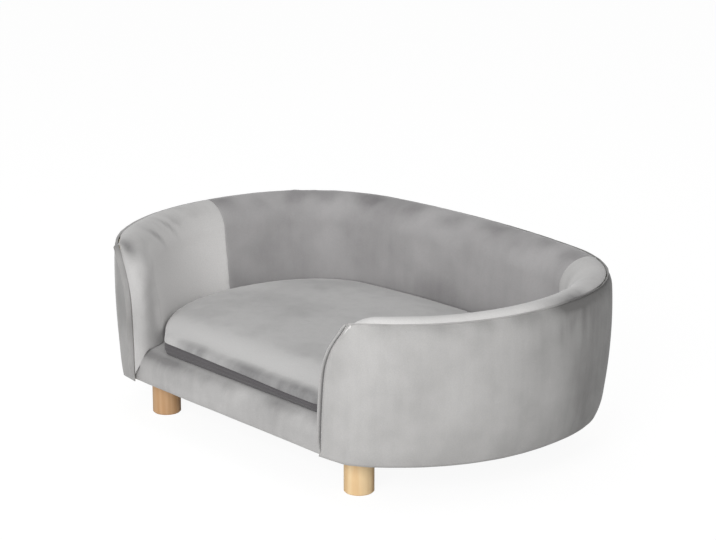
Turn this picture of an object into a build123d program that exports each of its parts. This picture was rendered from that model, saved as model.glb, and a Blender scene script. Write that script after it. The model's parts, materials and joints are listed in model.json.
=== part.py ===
from build123d import *
from dataclasses import dataclass
from math import acos, atan2, ceil, cos, degrees, hypot, pi, radians, sin, tan
import os

# Dog sofa bed: an oval tub wall round a loose cushion, on four turned legs.
# Millimetres, +Z up, floor at z = 0. The open front faces -Y, the origin is
# under the middle of the outer box.

# Driving sizes of the plan: half of the outline, as tangent arcs from the front corner
# to the middle of the back. A heading is the outline's direction in degrees, counted
# from +X towards +Y.
FRONT_HALF_WIDTH = 233.0
START_HEADING = 36.0
ARM_RADIUS = 262.0
ARM_END_HEADING = 84.0
SIDE_RADIUS = 316.0
SIDE_END_HEADING = 106.0
CORNER_RADIUS = 186.0
CORNER_END_HEADING = 171.0
BACK_HEADING = 180.0

# Heights of the sofa
LEG_HEIGHT = 52.0
BASE_HEIGHT = 46.0
RIM_HEIGHT = 240.0
RIDGE_DROP = 5.0

# Thicknesses of cloth, foam and board
COVER_THICKNESS = 1.2
LINING_THICKNESS = 0.6
BASE_BOARD_THICKNESS = 9.0
DECK_BOARD_THICKNESS = 5.0
OUTER_PANEL_THICKNESS = 3.0
INNER_PANEL_THICKNESS = 2.5
POST_DEPTH = 12.0
POST_WIDTH = 18.0
TOP_RAIL_THICKNESS = 12.0
DECK_FOAM_THICKNESS = 6.2
LAYER_GAP = 0.3
SOFT_GAP = 0.6
RIDGE_GAP = 0.5
FIT_GAP = 0.1

# Shape of the wall, seen in its section
FOOT_DEPTH_ARM = 57.0
FOOT_DEPTH_BACK = 48.0
FLARE = 3.6
BULGE = 10.3
BULGE_BOW_SHARE = 0.1
WAIST_HEIGHT = 33.0
WAIST_SHARE = 0.4
WAIST_BOW_SHARE = 0.027
TUCK_DEPTH = 5.0
TUCK_BOW_SHARE = 0.05
CREST_DEPTH = 11.0
CREST_BOW_SHARE = 0.08
ROLL_DEPTH = 46.5
ROLL_DROP = 45.0
ROLL_BOW_SHARE = 0.207
HEM_DEPTH = 20.0

# Shape of the arm's front end
NOSE_FOOT_DEPTH = 41.0
NOSE_TURN = 12.4
NOSE_LENGTH = 75.0
NOSE_SWELL = 13.5
NOSE_SWELL_POWER = 0.7
NOSE_BULGE = 9.0
NOSE_CREST_DEPTH = 9.0
NOSE_CREST_DROP = 21.0
NOSE_CREST_BOW_SHARE = 0.05
NOSE_CREST_LENGTH = 40.0
NOSE_ROLL_INSET = 5.0
NOSE_ROLL_DROP = 82.0
NOSE_ROLL_LENGTH = 60.0
NOSE_ROLL_BOW_SHARE = 0.08
NOSE_EASE = 2.0
NOSE_FOOT_DROP = 26.0
NOSE_FOOT_DROP_LENGTH = 12.0
NOSE_STATION_SHARES = (0.0, 0.05, 0.13, 0.24, 0.38, 0.54, 0.7, 0.86)

# Frame inside the wall
FRAME_DEPTH = 15.0
OUTER_PANEL_TOP_DROP = 18.0
TOP_RAIL_DROP = 30.0
INNER_PANEL_TOP_DROP = 32.0
FRAME_START = 80.0
POST_PLACE_SHARES = (0.125, 0.34, 0.56, 0.78)
NOSE_HOLLOW_START_SHARE = 0.27
STATION_SPACING = 55.0
PIECES_PER_ARC = 3

# Seams of the wall's cover, counted along the outline from the left and right front corners
LEFT_SEAM_PLACE = 262.0
RIGHT_SEAM_PLACE = 497.0

# Front rail
RAIL_END_INSET = 32.3
RAIL_HALF_WIDTH = FRONT_HALF_WIDTH - RAIL_END_INSET
RAIL_EDGE_SETBACK = -3.0
RAIL_BULGE = 5.0
RAIL_BULGE_RISE = 18.0
RAIL_TOP_SETBACK = 13.0
RAIL_BOW_SHARE = 0.1
RAIL_BOARD_SETBACK = 12.0
RAIL_BOARD_THICKNESS = 12.0
RAIL_COVER_REACH = 62.0
ARM_BOARD_INSET = 8.0
ARM_BOARD_FOOT_GAP = 10.0
CUT_GROWTH = 0.3

# Deck inside the base
BATTEN_COUNT = 3
BATTEN_WIDTH = 18.0
BATTEN_PITCH = 110.0
BATTEN_END_GAP = 6.0

# Legs and their fasteners
LEG_RADIUS = 19.0
LEG_CHAMFER = 1.5
FRONT_LEG_X = 198.0
FRONT_LEG_SETBACK = 46.0
BACK_LEG_X = 202.0
BACK_LEG_SETBACK = 54.0
BOLT_RADIUS = 4.0
BOLT_SINK = 26.0
BOLT_TIP_GAP = 2.0
TEE_NUT_BARREL_RADIUS = 5.0
TEE_NUT_FLANGE_RADIUS = 10.0
TEE_NUT_FLANGE_THICKNESS = 1.5

# Screws and staples
SCREW_RADIUS = 2.0
SCREW_HEAD_RADIUS = 3.8
SCREW_HEAD_THICKNESS = 2.2
SCREW_LENGTH = 32.0
STAPLE_LENGTH = 10.0
STAPLE_WIDTH = 1.2
HEM_STAPLE_INSET = 18.0
HEM_STAPLE_THICKNESS = 0.4
LINING_STAPLE_INSET = 27.0
LINING_STAPLE_THICKNESS = 0.7
LINING_INSET = 22.0
LINING_SETBACK = 10.0
STAPLE_PITCH = 55.0
STAPLE_LEG_CLEARANCE = 12.0

# Loose cushion
CUSHION_FRONT_SETBACK = 9.5
CUSHION_CORNER_RADIUS = 16.0
CUSHION_LEFT_CORNER_INSET = 82.0
CUSHION_RIGHT_CORNER_INSET = 71.0
CUSHION_CORNER_DRAW = 0.37
CUSHION_SIDE_GAP = 1.5
CUSHION_BAND_HEIGHT = 17.0
CUSHION_CROWN = 16.0
CORE_CLEARANCE = 1.0
CUSHION_BAND_BOW = 2.5
CROWN_BANDS = 8
CROWN_SQUARENESS = 0.8
CROWN_INSET = 105.0

# Zip on the underside of the cushion
ZIP_LENGTH = 360.0
ZIP_BACK_OFFSET = 60.0
ZIP_SLOT_WIDTH = 14.0
ZIP_TAPE_MARGIN = 6.0
ZIP_TAPE_THICKNESS = 0.8
ZIP_RECESS = 2.6
ZIP_CHAIN_WIDTH = 5.0
ZIP_CHAIN_HEIGHT = 1.4
SLIDER_LENGTH = 11.0
SLIDER_WIDTH = 9.0
SLIDER_PLATE = 1.1
SLIDER_END_GAP = 4.0
PULL_LENGTH = 17.0
PULL_WIDTH = 5.0
PULL_THICKNESS = 0.6
ZIP_RUN_GAP = 0.2

OVERRUN = 5.0

# Heights worked out from the sizes above
HEM_Z = LEG_HEIGHT + LINING_THICKNESS + HEM_STAPLE_THICKNESS
BOARD_Z = HEM_Z + COVER_THICKNESS + LAYER_GAP
BOARD_TOP = BOARD_Z + BASE_BOARD_THICKNESS
SEAT_Z = HEM_Z + BASE_HEIGHT
DECK_FOAM_TOP = SEAT_Z - COVER_THICKNESS - LAYER_GAP
DECK_BOARD_TOP = DECK_FOAM_TOP - DECK_FOAM_THICKNESS
DECK_BOARD_Z = DECK_BOARD_TOP - DECK_BOARD_THICKNESS
RIDGE_Z = RIM_HEIGHT - RIDGE_DROP
PANEL_TOP = RIM_HEIGHT - OUTER_PANEL_TOP_DROP
TOP_RAIL_TOP = RIM_HEIGHT - TOP_RAIL_DROP
TOP_RAIL_Z = TOP_RAIL_TOP - TOP_RAIL_THICKNESS
FOOT_Z = SEAT_Z + LAYER_GAP

# Depths inside the wall, worked out from the sizes above
SKIN = COVER_THICKNESS + LAYER_GAP
FOAM_INSET = COVER_THICKNESS + SOFT_GAP
CORE_DEPTH = FRAME_DEPTH + OUTER_PANEL_THICKNESS + LAYER_GAP
CORE_BACK = CORE_DEPTH + POST_DEPTH
INNER_PANEL_DEPTH = CORE_BACK + LAYER_GAP
INNER_PANEL_BACK = INNER_PANEL_DEPTH + INNER_PANEL_THICKNESS
HOLLOW_BACK = INNER_PANEL_BACK + LAYER_GAP
FOAM_HOLLOW_BACK = INNER_PANEL_BACK + SOFT_GAP

LEFT, RIGHT = -1, 1


@dataclass(frozen=True)
class PlanArc:
    """One tangent arc of the half outline, with its centre counted from the front line."""

    centre_x: float
    centre_y: float
    radius: float
    start: float
    end: float

    @property
    def length(self):
        return self.radius * radians(self.end - self.start)

    def point(self, heading, inset):
        turn = radians(heading)
        reach = self.radius - inset
        return self.centre_x + reach * sin(turn), self.centre_y - reach * cos(turn)


def half_outline():
    """The four arcs of the right half; the last radius closes the outline at the middle of the back."""
    x, y = FRONT_HALF_WIDTH, 0.0
    heading = START_HEADING
    arcs = []
    bends = (
        (ARM_RADIUS, ARM_END_HEADING),
        (SIDE_RADIUS, SIDE_END_HEADING),
        (CORNER_RADIUS, CORNER_END_HEADING),
        (None, BACK_HEADING),
    )
    for radius, end in bends:
        reach = radius or x / sin(radians(heading))
        turn = radians(heading)
        arc = PlanArc(x - reach * sin(turn), y + reach * cos(turn), reach, heading, end)
        arcs.append(arc)
        x, y = arc.point(end, 0.0)
        heading = end
    return arcs, y


ARCS, OUTLINE_DEPTH = half_outline()
HALF_LENGTH = sum(arc.length for arc in ARCS)
WALL_LENGTH = 2 * HALF_LENGTH
NOSE_REACH = NOSE_FOOT_DEPTH * sin(radians(NOSE_TURN))
FRONT_Y = -(OUTLINE_DEPTH + BULGE - NOSE_REACH) / 2


def smooth(value):
    """A share from 0 to 1 with a soft start and end."""
    share = min(max(value, 0.0), 1.0)
    return share * share * (3 - 2 * share)


def mix(first, second, share):
    """The value that lies at a share of the way from the first to the second."""
    return first + (second - first) * share


def foot_depth(heading):
    """Depth of the wall at the seat, which is less behind than at the arms."""
    share = (heading - SIDE_END_HEADING) / (CORNER_END_HEADING - SIDE_END_HEADING)
    return mix(FOOT_DEPTH_ARM, FOOT_DEPTH_BACK, smooth(share))


def outline_at(place):
    """Arc and heading at a length along the right half, counted from the front corner."""
    left = place
    for arc in ARCS[:-1]:
        if left <= arc.length:
            return arc, arc.start + degrees(left / arc.radius)
        left -= arc.length
    return ARCS[-1], ARCS[-1].start + degrees(left / ARCS[-1].radius)


def plan_point(place, inset=0.0):
    """A point of the outline at a length from the right front corner, moved inward by the inset."""
    if place > HALF_LENGTH:
        x, y = plan_point(WALL_LENGTH - place, inset)
        return -x, y
    arc, heading = outline_at(place)
    x, y = arc.point(heading, inset)
    return x, y + FRONT_Y


def foot_point(place):
    """The wall's inner foot that belongs to a place on the outline, fanned out round the arm's front end."""
    nose_x = FRONT_HALF_WIDTH - NOSE_FOOT_DEPTH * cos(radians(NOSE_TURN))
    nose_y = FRONT_Y - NOSE_REACH
    corner_x, corner_y = plan_point(0.0, FOOT_DEPTH_ARM)
    nose_run = hypot(corner_x - nose_x, corner_y - nose_y)
    foot_rate = (ARM_RADIUS - FOOT_DEPTH_ARM) / ARM_RADIUS
    if place >= NOSE_LENGTH:
        return plan_point(place, foot_depth(outline_at(place)[1]))
    along = place * (nose_run + foot_rate * NOSE_LENGTH) / NOSE_LENGTH
    if along >= nose_run:
        return plan_point((along - nose_run) / foot_rate, FOOT_DEPTH_ARM)
    share = along / nose_run
    swell = NOSE_SWELL * sin(pi * share**NOSE_SWELL_POWER)
    return mix(nose_x, corner_x, share) - swell, mix(nose_y, corner_y, share)


@dataclass(frozen=True)
class Station:
    """One upright section plane of the wall."""

    x: float
    y: float
    inward_x: float
    inward_y: float
    foot: float
    edge: float
    nose: float
    drop: float
    hollow: float

    def at(self, depth, height):
        return Vector(self.x + self.inward_x * depth, self.y + self.inward_y * depth, height)


def eased(place, length):
    """A share that falls from 1 at the front corner to 0 at a length behind it, fast at first."""
    return (1 - min(place / length, 1.0)) ** NOSE_EASE


def station(place):
    """The section plane at a length along the outline, counted from the right front corner."""
    mirrored = place > HALF_LENGTH
    own_place = WALL_LENGTH - place if mirrored else place
    x, y = plan_point(own_place)
    foot_x, foot_y = foot_point(own_place)
    depth = hypot(foot_x - x, foot_y - y)
    side = LEFT if mirrored else RIGHT
    edge = eased(own_place, NOSE_CREST_LENGTH)
    nose = eased(own_place, NOSE_ROLL_LENGTH)
    drop = NOSE_FOOT_DROP * eased(own_place, NOSE_FOOT_DROP_LENGTH)
    opening = (own_place / NOSE_LENGTH - NOSE_HOLLOW_START_SHARE) / (1 - NOSE_HOLLOW_START_SHARE)
    hollow = mix(FRAME_DEPTH, FOAM_HOLLOW_BACK, smooth(opening))
    inward = (side * (foot_x - x) / depth, (foot_y - y) / depth)
    return Station(side * x, y, *inward, depth, edge, nose, drop, hollow)


def places_between(start, end):
    """Places of the section planes, closer together at the arm's front ends."""
    places = []
    first, last = start, end
    if start < NOSE_LENGTH:
        places += [start + share * (NOSE_LENGTH - start) for share in NOSE_STATION_SHARES]
        first = NOSE_LENGTH
    if end > WALL_LENGTH - NOSE_LENGTH:
        last = WALL_LENGTH - NOSE_LENGTH
    count = ceil((last - first) / STATION_SPACING)
    places += [mix(first, last, index / count) for index in range(count + 1)]
    if last < end:
        places += [end - share * (end - last) for share in reversed(NOSE_STATION_SHARES)]
    return places


def bowed(start, end, share):
    """Middle point of an arc between two section points, bowed to the left of the way."""
    run, rise = end[0] - start[0], end[1] - start[1]
    return (start[0] + end[0]) / 2 - rise * share, (start[1] + end[1]) / 2 + run * share


def foam_joint(plane):
    """Height where the outer foam ends and the foam over the wall's top begins."""
    return PANEL_TOP - mix(0.0, NOSE_CREST_DROP, plane.edge)


def outer_side(plane, inset):
    """Section points of the outer face, from the hem over its fullest height up to the ridge."""
    bulge = mix(BULGE, NOSE_BULGE, plane.edge)
    hem = (TUCK_DEPTH + inset, HEM_Z + inset)
    waist = (inset - bulge * WAIST_SHARE, HEM_Z + WAIST_HEIGHT)
    full = (inset - bulge, foam_joint(plane))
    ridge = (inset - FLARE, RIDGE_Z - inset)
    tuck = bowed(hem, waist, TUCK_BOW_SHARE)
    flank = bowed(waist, full, WAIST_BOW_SHARE)
    shoulder = bowed(full, ridge, BULGE_BOW_SHARE)
    return hem, tuck, waist, flank, full, shoulder, ridge


def inner_side(plane, inset):
    """Section points over the top and down the inner face, from the ridge to the foot."""
    crest_depth = mix(CREST_DEPTH, NOSE_CREST_DEPTH, plane.edge)
    crest_z = RIM_HEIGHT - mix(0.0, NOSE_CREST_DROP, plane.edge)
    roll_depth = mix(ROLL_DEPTH, plane.foot - NOSE_ROLL_INSET, plane.nose)
    roll_z = RIM_HEIGHT - mix(ROLL_DROP, NOSE_ROLL_DROP, plane.nose)
    ridge = (inset - FLARE, RIDGE_Z + RIDGE_GAP - inset)
    crest = (crest_depth - inset * plane.edge / 2, crest_z - inset)
    roll = (roll_depth - inset, roll_z)
    foot = (plane.foot - inset, FOOT_Z - plane.drop)
    over = bowed(ridge, crest, mix(CREST_BOW_SHARE, NOSE_CREST_BOW_SHARE, plane.edge))
    down = bowed(crest, roll, mix(ROLL_BOW_SHARE, NOSE_ROLL_BOW_SHARE, plane.nose))
    return ridge, over, crest, down, roll, foot


def closed_wire(plane, steps):
    """A closed section outline: each step is the next point, or a middle point and the next one."""
    edges = []
    last = steps[-1][-1]
    for step in steps:
        points = [plane.at(*last)] + [plane.at(*point) for point in step]
        edges.append(Line(*points) if len(step) == 1 else ThreePointArc(*points))
        last = step[-1]
    return Wire(edges)


def loft_along(places, steps_at):
    """A solid through the section outlines at the given places."""
    planes = [station(place) for place in places]
    return Solid.make_loft([closed_wire(plane, steps_at(plane)) for plane in planes])


def outer_cover_steps(plane):
    hem, tuck, waist, flank, full, shoulder, ridge = outer_side(plane, 0.0)
    hem_in, tuck_in, waist_in, flank_in, full_in, shoulder_in, ridge_in = outer_side(plane, COVER_THICKNESS)
    hem_end = (TUCK_DEPTH + HEM_DEPTH, HEM_Z)
    hem_end_in = (TUCK_DEPTH + HEM_DEPTH, HEM_Z + COVER_THICKNESS)
    face = [[hem], [tuck, waist], [flank, full], [shoulder, ridge]]
    back = [[ridge_in], [shoulder_in, full_in], [flank_in, waist_in], [tuck_in, hem_in]]
    return face + back + [[hem_end_in], [hem_end]]


def outer_foam_steps(plane):
    hem, tuck, waist, flank, full, _, _ = outer_side(plane, FOAM_INSET)
    foam_back = FRAME_DEPTH - SOFT_GAP
    return [[hem], [tuck, waist], [flank, full], [(foam_back, full[1])], [(foam_back, hem[1])]]


def inner_cover_steps(plane):
    ridge, over, crest, down, roll, foot = inner_side(plane, 0.0)
    ridge_in, over_in, crest_in, down_in, roll_in, foot_in = inner_side(plane, COVER_THICKNESS)
    face = [[over, crest], [down, roll], [foot]]
    return face + [[foot_in], [roll_in], [down_in, crest_in], [over_in, ridge_in], [ridge]]


def wall_foam_steps(plane):
    ridge, over, crest, down, roll, foot = inner_side(plane, FOAM_INSET)
    _, _, _, _, full, shoulder, _ = outer_side(plane, FOAM_INSET)
    under_z = full[1] + SOFT_GAP
    face = [[over, crest], [down, roll], [foot]]
    back = [[(plane.hollow, FOOT_Z)], [(plane.hollow, under_z)], [(full[0], under_z)]]
    return face + back + [[shoulder, ridge]]


def end_plate(place):
    """The flat front of an arm: the whole section outline, one cloth thick."""
    plane = station(place)
    hem, tuck, waist, flank, full, shoulder, ridge = outer_side(plane, 0.0)
    _, over, crest, down, roll, _ = inner_side(plane, 0.0)
    outside = [[tuck, waist], [flank, full], [shoulder, ridge]]
    steps = outside + [[over, crest], [down, roll], [(plane.foot, HEM_Z)], [hem]]
    return extrude(Face(closed_wire(plane, steps)), COVER_THICKNESS, dir=(0, -1, 0))


def outer_cover():
    wrap = loft_along(places_between(0.0, WALL_LENGTH), outer_cover_steps)
    return wrap + end_plate(0.0) + end_plate(WALL_LENGTH)


def arm_front_board(growth=0.0):
    """The shaped board that carries the right arm's flat front, or the room for it."""
    plane = station(0.0)
    inset = ARM_BOARD_INSET - growth
    _, _, crest, _, roll, _ = inner_side(plane, inset)
    foot = (plane.foot - ARM_BOARD_FOOT_GAP + growth, BOARD_Z - growth)
    top = (inset, crest[1])
    arch = bowed(top, roll, NOSE_ROLL_BOW_SHARE)
    steps = [[top], [arch, roll], [(foot[0], roll[1])], [foot], [(inset, foot[1])]]
    back = FRONT_Y + RAIL_BOARD_SETBACK - LAYER_GAP + growth
    shape = extrude(Face(closed_wire(plane, steps)), RAIL_BOARD_SETBACK + NOSE_REACH, dir=(0, 1, 0))
    room = block((0, FRONT_Y - NOSE_REACH, 0), (WALL_LENGTH, back, RIM_HEIGHT))
    return Pos(0, LAYER_GAP - growth, 0) * shape & room


def outer_foam():
    """The thin foam outside the frame, with room for the two boards at the arms' fronts."""
    room = arm_front_board(CUT_GROWTH)
    return loft_along(places_between(0.0, WALL_LENGTH), outer_foam_steps) - room - mirrored(room)


def front_zone(place):
    """A large block on the front side of the section plane at a place of the right half."""
    plane = station(place)
    frame = Plane((plane.x, plane.y, 0), x_dir=(plane.inward_x, plane.inward_y, 0), z_dir=(0, 0, 1))
    size = WALL_LENGTH
    return frame * Pos(-size / 2, 0, 0) * Solid.make_box(size, size, size)


def mirrored(shape):
    return mirror(shape, Plane.YZ)


def wall_covers_and_foams():
    """The covers and foams of the right arm, the back and the left arm, by name."""
    half_gap = LAYER_GAP / 2
    back_places = places_between(RIGHT_SEAM_PLACE + half_gap, WALL_LENGTH - LEFT_SEAM_PLACE - half_gap)
    room = arm_front_board(CUT_GROWTH)
    parts = {}
    for name, steps_at in (("cover", inner_cover_steps), ("foam", wall_foam_steps)):
        arm = loft_along(places_between(0.0, RIGHT_SEAM_PLACE - half_gap), steps_at)
        if name == "foam":
            arm -= room
        parts[f"right_arm_{name}"] = arm
        parts[f"left_arm_{name}"] = mirrored(arm & front_zone(LEFT_SEAM_PLACE - half_gap))
        parts[f"back_{name}"] = loft_along(back_places, steps_at)
    return parts


def arc_edges(inset_at, first_heading, side, z):
    """Edges of one half of a plan outline, each an arc through three points of the formula."""
    edges = []
    for arc in ARCS:
        start = first_heading if arc is ARCS[0] else max(arc.start, first_heading)
        if start >= arc.end:
            continue
        points = []
        for index in range(2 * PIECES_PER_ARC + 1):
            heading = mix(start, arc.end, index / (2 * PIECES_PER_ARC))
            x, y = arc.point(heading, inset_at(heading))
            points.append(Vector(side * x, y + FRONT_Y, z))
        edges += [ThreePointArc(*points[index : index + 3]) for index in range(0, len(points) - 2, 2)]
    return edges


def start_heading(inset, setback):
    """Heading of the first arc where its inset copy crosses the line at the setback."""
    arc = ARCS[0]
    return degrees(acos((arc.centre_y - setback) / (arc.radius - inset)))


def plan_outline(inset_at, heading, z):
    """A closed plan outline whose front is a straight line between its two ends."""
    right = arc_edges(inset_at, heading, RIGHT, z)
    left = arc_edges(inset_at, heading, LEFT, z)
    front = Line(left[0] @ 0, right[0] @ 0)
    return Wire([front] + right + left)


def board(inset, setback, z, thickness):
    """A flat board inside the outline, cut off straight at the setback from the front."""
    outline = plan_outline(lambda heading: inset, start_heading(inset, setback), z)
    return extrude(Face(outline), thickness, dir=(0, 0, 1))


def curved_band(depth, thickness, z, height):
    """An upright or flat band that follows the wall between its two front ends."""
    heading = outline_at(FRAME_START)[1]
    loops = []
    for inset in (depth, depth + thickness):
        right = arc_edges(lambda _: inset, heading, RIGHT, z)
        left = arc_edges(lambda _: inset, heading, LEFT, z)
        loops.append((right, left))
    (outer_right, outer_left), (inner_right, inner_left) = loops
    ends = [Line(outer_right[0] @ 0, inner_right[0] @ 0), Line(outer_left[0] @ 0, inner_left[0] @ 0)]
    outline = Wire(outer_right + outer_left + inner_right + inner_left + ends)
    return extrude(Face(outline), height, dir=(0, 0, 1))


def upright(radius, x, y, z, height):
    return Solid.make_cylinder(radius, height, Plane((x, y, z)))


def block(low, high):
    size = [top - bottom for bottom, top in zip(low, high)]
    return Pos(*low) * Solid.make_box(*size)


def post_places():
    """Places of the wall's posts along the outline, right side first."""
    right = [share * HALF_LENGTH for share in POST_PLACE_SHARES]
    return right + [WALL_LENGTH - place for place in right]


def post_centre(place):
    plane = station(place)
    middle = plane.at((CORE_DEPTH + CORE_BACK) / 2, BOARD_TOP)
    return plane, middle


def wall_post(place):
    """An upright batten between the two panels, bored for its screw."""
    plane, middle = post_centre(place)
    frame = Plane(middle, x_dir=(plane.inward_x, plane.inward_y, 0), z_dir=(0, 0, 1))
    height = TOP_RAIL_Z - BOARD_TOP
    depth = POST_DEPTH - 2 * LAYER_GAP
    timber = frame * Pos(-depth / 2, -POST_WIDTH / 2, 0) * Solid.make_box(depth, POST_WIDTH, height)
    bore_depth = SCREW_LENGTH - BASE_BOARD_THICKNESS + FIT_GAP
    return timber - upright(SCREW_RADIUS + FIT_GAP, middle.X, middle.Y, BOARD_TOP, bore_depth)


def post_screw(place):
    """A countersunk screw, driven up through the base board into a post."""
    _, middle = post_centre(place)
    shank = upright(SCREW_RADIUS, middle.X, middle.Y, BOARD_Z, SCREW_LENGTH)
    head_frame = Plane((middle.X, middle.Y, BOARD_Z))
    head = Solid.make_cone(SCREW_HEAD_RADIUS, SCREW_RADIUS, SCREW_HEAD_THICKNESS, head_frame)
    return shank + head


def leg_places():
    """Centres of the four legs, by name."""
    back_y = FRONT_Y + OUTLINE_DEPTH - BACK_LEG_SETBACK
    front_y = FRONT_Y + FRONT_LEG_SETBACK
    return {
        "front_left": (-FRONT_LEG_X, front_y),
        "front_right": (FRONT_LEG_X, front_y),
        "back_left": (-BACK_LEG_X, back_y),
        "back_right": (BACK_LEG_X, back_y),
    }


def base_board():
    """Plywood board that carries the wall and the legs."""
    outline = board(CORE_DEPTH, RAIL_BOARD_SETBACK, BOARD_Z, BASE_BOARD_THICKNESS)
    through = BASE_BOARD_THICKNESS + 2 * OVERRUN
    for x, y in leg_places().values():
        outline -= upright(TEE_NUT_BARREL_RADIUS + FIT_GAP, x, y, BOARD_Z - OVERRUN, through)
    for place in post_places():
        _, middle = post_centre(place)
        shank = upright(SCREW_RADIUS + FIT_GAP, middle.X, middle.Y, BOARD_Z - OVERRUN, through)
        sink_frame = Plane((middle.X, middle.Y, BOARD_Z))
        wide, narrow = SCREW_HEAD_RADIUS + FIT_GAP, SCREW_RADIUS + FIT_GAP
        sink = Solid.make_cone(wide, narrow, SCREW_HEAD_THICKNESS + FIT_GAP, sink_frame)
        outline -= shank + sink
    return outline


def leg(x, y):
    """A turned leg with a broken lower edge, bored for its hanger bolt."""
    blank = upright(LEG_RADIUS, x, y, 0, LEG_HEIGHT)
    blank = chamfer(blank.edges().sort_by(Axis.Z)[0], LEG_CHAMFER)
    bore = BOLT_SINK + BOLT_TIP_GAP
    return blank - upright(BOLT_RADIUS + FIT_GAP, x, y, LEG_HEIGHT - bore, bore + OVERRUN)


def hanger_bolt(x, y):
    """The headless bolt from the leg up through the base board."""
    top = BOARD_TOP + TEE_NUT_FLANGE_THICKNESS + BOLT_TIP_GAP
    return upright(BOLT_RADIUS, x, y, LEG_HEIGHT - BOLT_SINK, top - LEG_HEIGHT + BOLT_SINK)


def tee_nut(x, y):
    """The flanged nut on the upper side of the base board."""
    barrel = upright(TEE_NUT_BARREL_RADIUS, x, y, BOARD_Z + LAYER_GAP, BASE_BOARD_THICKNESS - LAYER_GAP)
    flange = upright(TEE_NUT_FLANGE_RADIUS, x, y, BOARD_TOP, TEE_NUT_FLANGE_THICKNESS)
    bore = upright(BOLT_RADIUS + FIT_GAP / 2, x, y, BOARD_Z - OVERRUN, BASE_BOARD_THICKNESS + 3 * OVERRUN)
    return barrel + flange - bore


def rail_plane(x):
    """A section plane across the front rail, with its depth along +Y."""
    return Station(x, FRONT_Y, 0.0, 1.0, 0.0, 0.0, 0.0, 0.0, 0.0)


def rail_side(inset):
    """Section points of the rail's rounded front, from the hem to the start of its top."""
    hem = (RAIL_EDGE_SETBACK + inset, HEM_Z + inset)
    bulge = (inset - RAIL_BULGE, HEM_Z + RAIL_BULGE_RISE)
    top = (RAIL_TOP_SETBACK, SEAT_Z - inset)
    lower = bowed(hem, bulge, RAIL_BOW_SHARE)
    upper = bowed(bulge, top, 2 * RAIL_BOW_SHARE)
    return hem, lower, bulge, upper, top


def across_front(half_width, steps):
    """A piece with one section all along the front rail."""
    planes = [rail_plane(side * half_width) for side in (LEFT, RIGHT)]
    return Solid.make_loft([closed_wire(plane, steps) for plane in planes], True)


def front_rail_cover():
    """Cloth over the rail's front and the front strip of the seat."""
    hem, lower, bulge, upper, top = rail_side(0.0)
    hem_in, lower_in, bulge_in, upper_in, top_in = rail_side(COVER_THICKNESS)
    hem_end = (RAIL_EDGE_SETBACK + HEM_DEPTH, HEM_Z)
    hem_end_in = (RAIL_EDGE_SETBACK + HEM_DEPTH, HEM_Z + COVER_THICKNESS)
    face = [[hem], [lower, bulge], [upper, top]]
    back = [[top_in], [upper_in, bulge_in], [lower_in, hem_in], [hem_end_in], [hem_end]]
    sheet = seat_sheet(RAIL_TOP_SETBACK, SEAT_Z - COVER_THICKNESS, COVER_THICKNESS)
    return across_front(RAIL_HALF_WIDTH, face + back) + (sheet & seat_zone(0.0, RAIL_COVER_REACH))


def front_rail_foam():
    """Foam round the front and the top edge of the rail board."""
    hem, lower, bulge, upper, top = rail_side(FOAM_INSET)
    back = RAIL_BOARD_SETBACK - LAYER_GAP
    ledge_z = DECK_BOARD_TOP + LAYER_GAP
    steps = [[lower, bulge], [upper, top], [(top[0], ledge_z)], [(back, ledge_z)], [(back, hem[1])], [hem]]
    return across_front(RAIL_HALF_WIDTH - LAYER_GAP, steps)


def front_rail_board():
    """The upright board under the front edge of the deck."""
    heading = start_heading(HOLLOW_BACK, RAIL_BOARD_SETBACK)
    half_width = ARCS[0].point(heading, HOLLOW_BACK)[0] - BATTEN_END_GAP
    low = (-half_width, FRONT_Y + RAIL_BOARD_SETBACK, BOARD_TOP)
    high = (half_width, FRONT_Y + RAIL_BOARD_SETBACK + RAIL_BOARD_THICKNESS, DECK_BOARD_Z)
    return block(low, high)


def deck_batten(index):
    """A batten across the base, under the deck board, as long as the inner panel leaves room for."""
    y = FRONT_Y + OUTLINE_DEPTH / 2 + (index - (BATTEN_COUNT - 1) / 2) * BATTEN_PITCH
    reach = min(batten_reach(y - BATTEN_WIDTH / 2), batten_reach(y + BATTEN_WIDTH / 2)) - BATTEN_END_GAP
    return block((-reach, y - BATTEN_WIDTH / 2, BOARD_TOP), (reach, y + BATTEN_WIDTH / 2, DECK_BOARD_Z))


def batten_reach(y):
    """Half width inside the inner panel at a distance along Y."""
    steps = ceil(HALF_LENGTH / STATION_SPACING)
    points = [plan_point(HALF_LENGTH * index / steps, HOLLOW_BACK) for index in range(steps + 1)]
    reach = 0.0
    for (x0, y0), (x1, y1) in zip(points, points[1:]):
        if min(y0, y1) <= y <= max(y0, y1):
            reach = max(reach, mix(x0, x1, (y - y0) / (y1 - y0)))
    return reach


def seat_sheet(setback, z, thickness):
    """A soft sheet that fills the seat inside the wall's inner panel."""
    return board(HOLLOW_BACK, setback, z, thickness)


def seat_zone(start, end):
    """A block over the whole width of the seat, between two distances from the front."""
    low = (-WALL_LENGTH, FRONT_Y + start, BOARD_TOP)
    return block(low, (WALL_LENGTH, FRONT_Y + end, RIM_HEIGHT))


def deck_foam():
    """The thin foam on the deck board, behind the rail's own foam."""
    thickness = DECK_FOAM_THICKNESS - LAYER_GAP
    return seat_sheet(RAIL_TOP_SETBACK + LAYER_GAP, DECK_BOARD_TOP + LAYER_GAP, thickness)


def deck_cover():
    """The seat's own cloth, behind the strip of the front rail's cover."""
    sheet = seat_sheet(RAIL_TOP_SETBACK, SEAT_Z - COVER_THICKNESS, COVER_THICKNESS)
    return sheet & seat_zone(RAIL_COVER_REACH + LAYER_GAP, OUTLINE_DEPTH)


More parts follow.
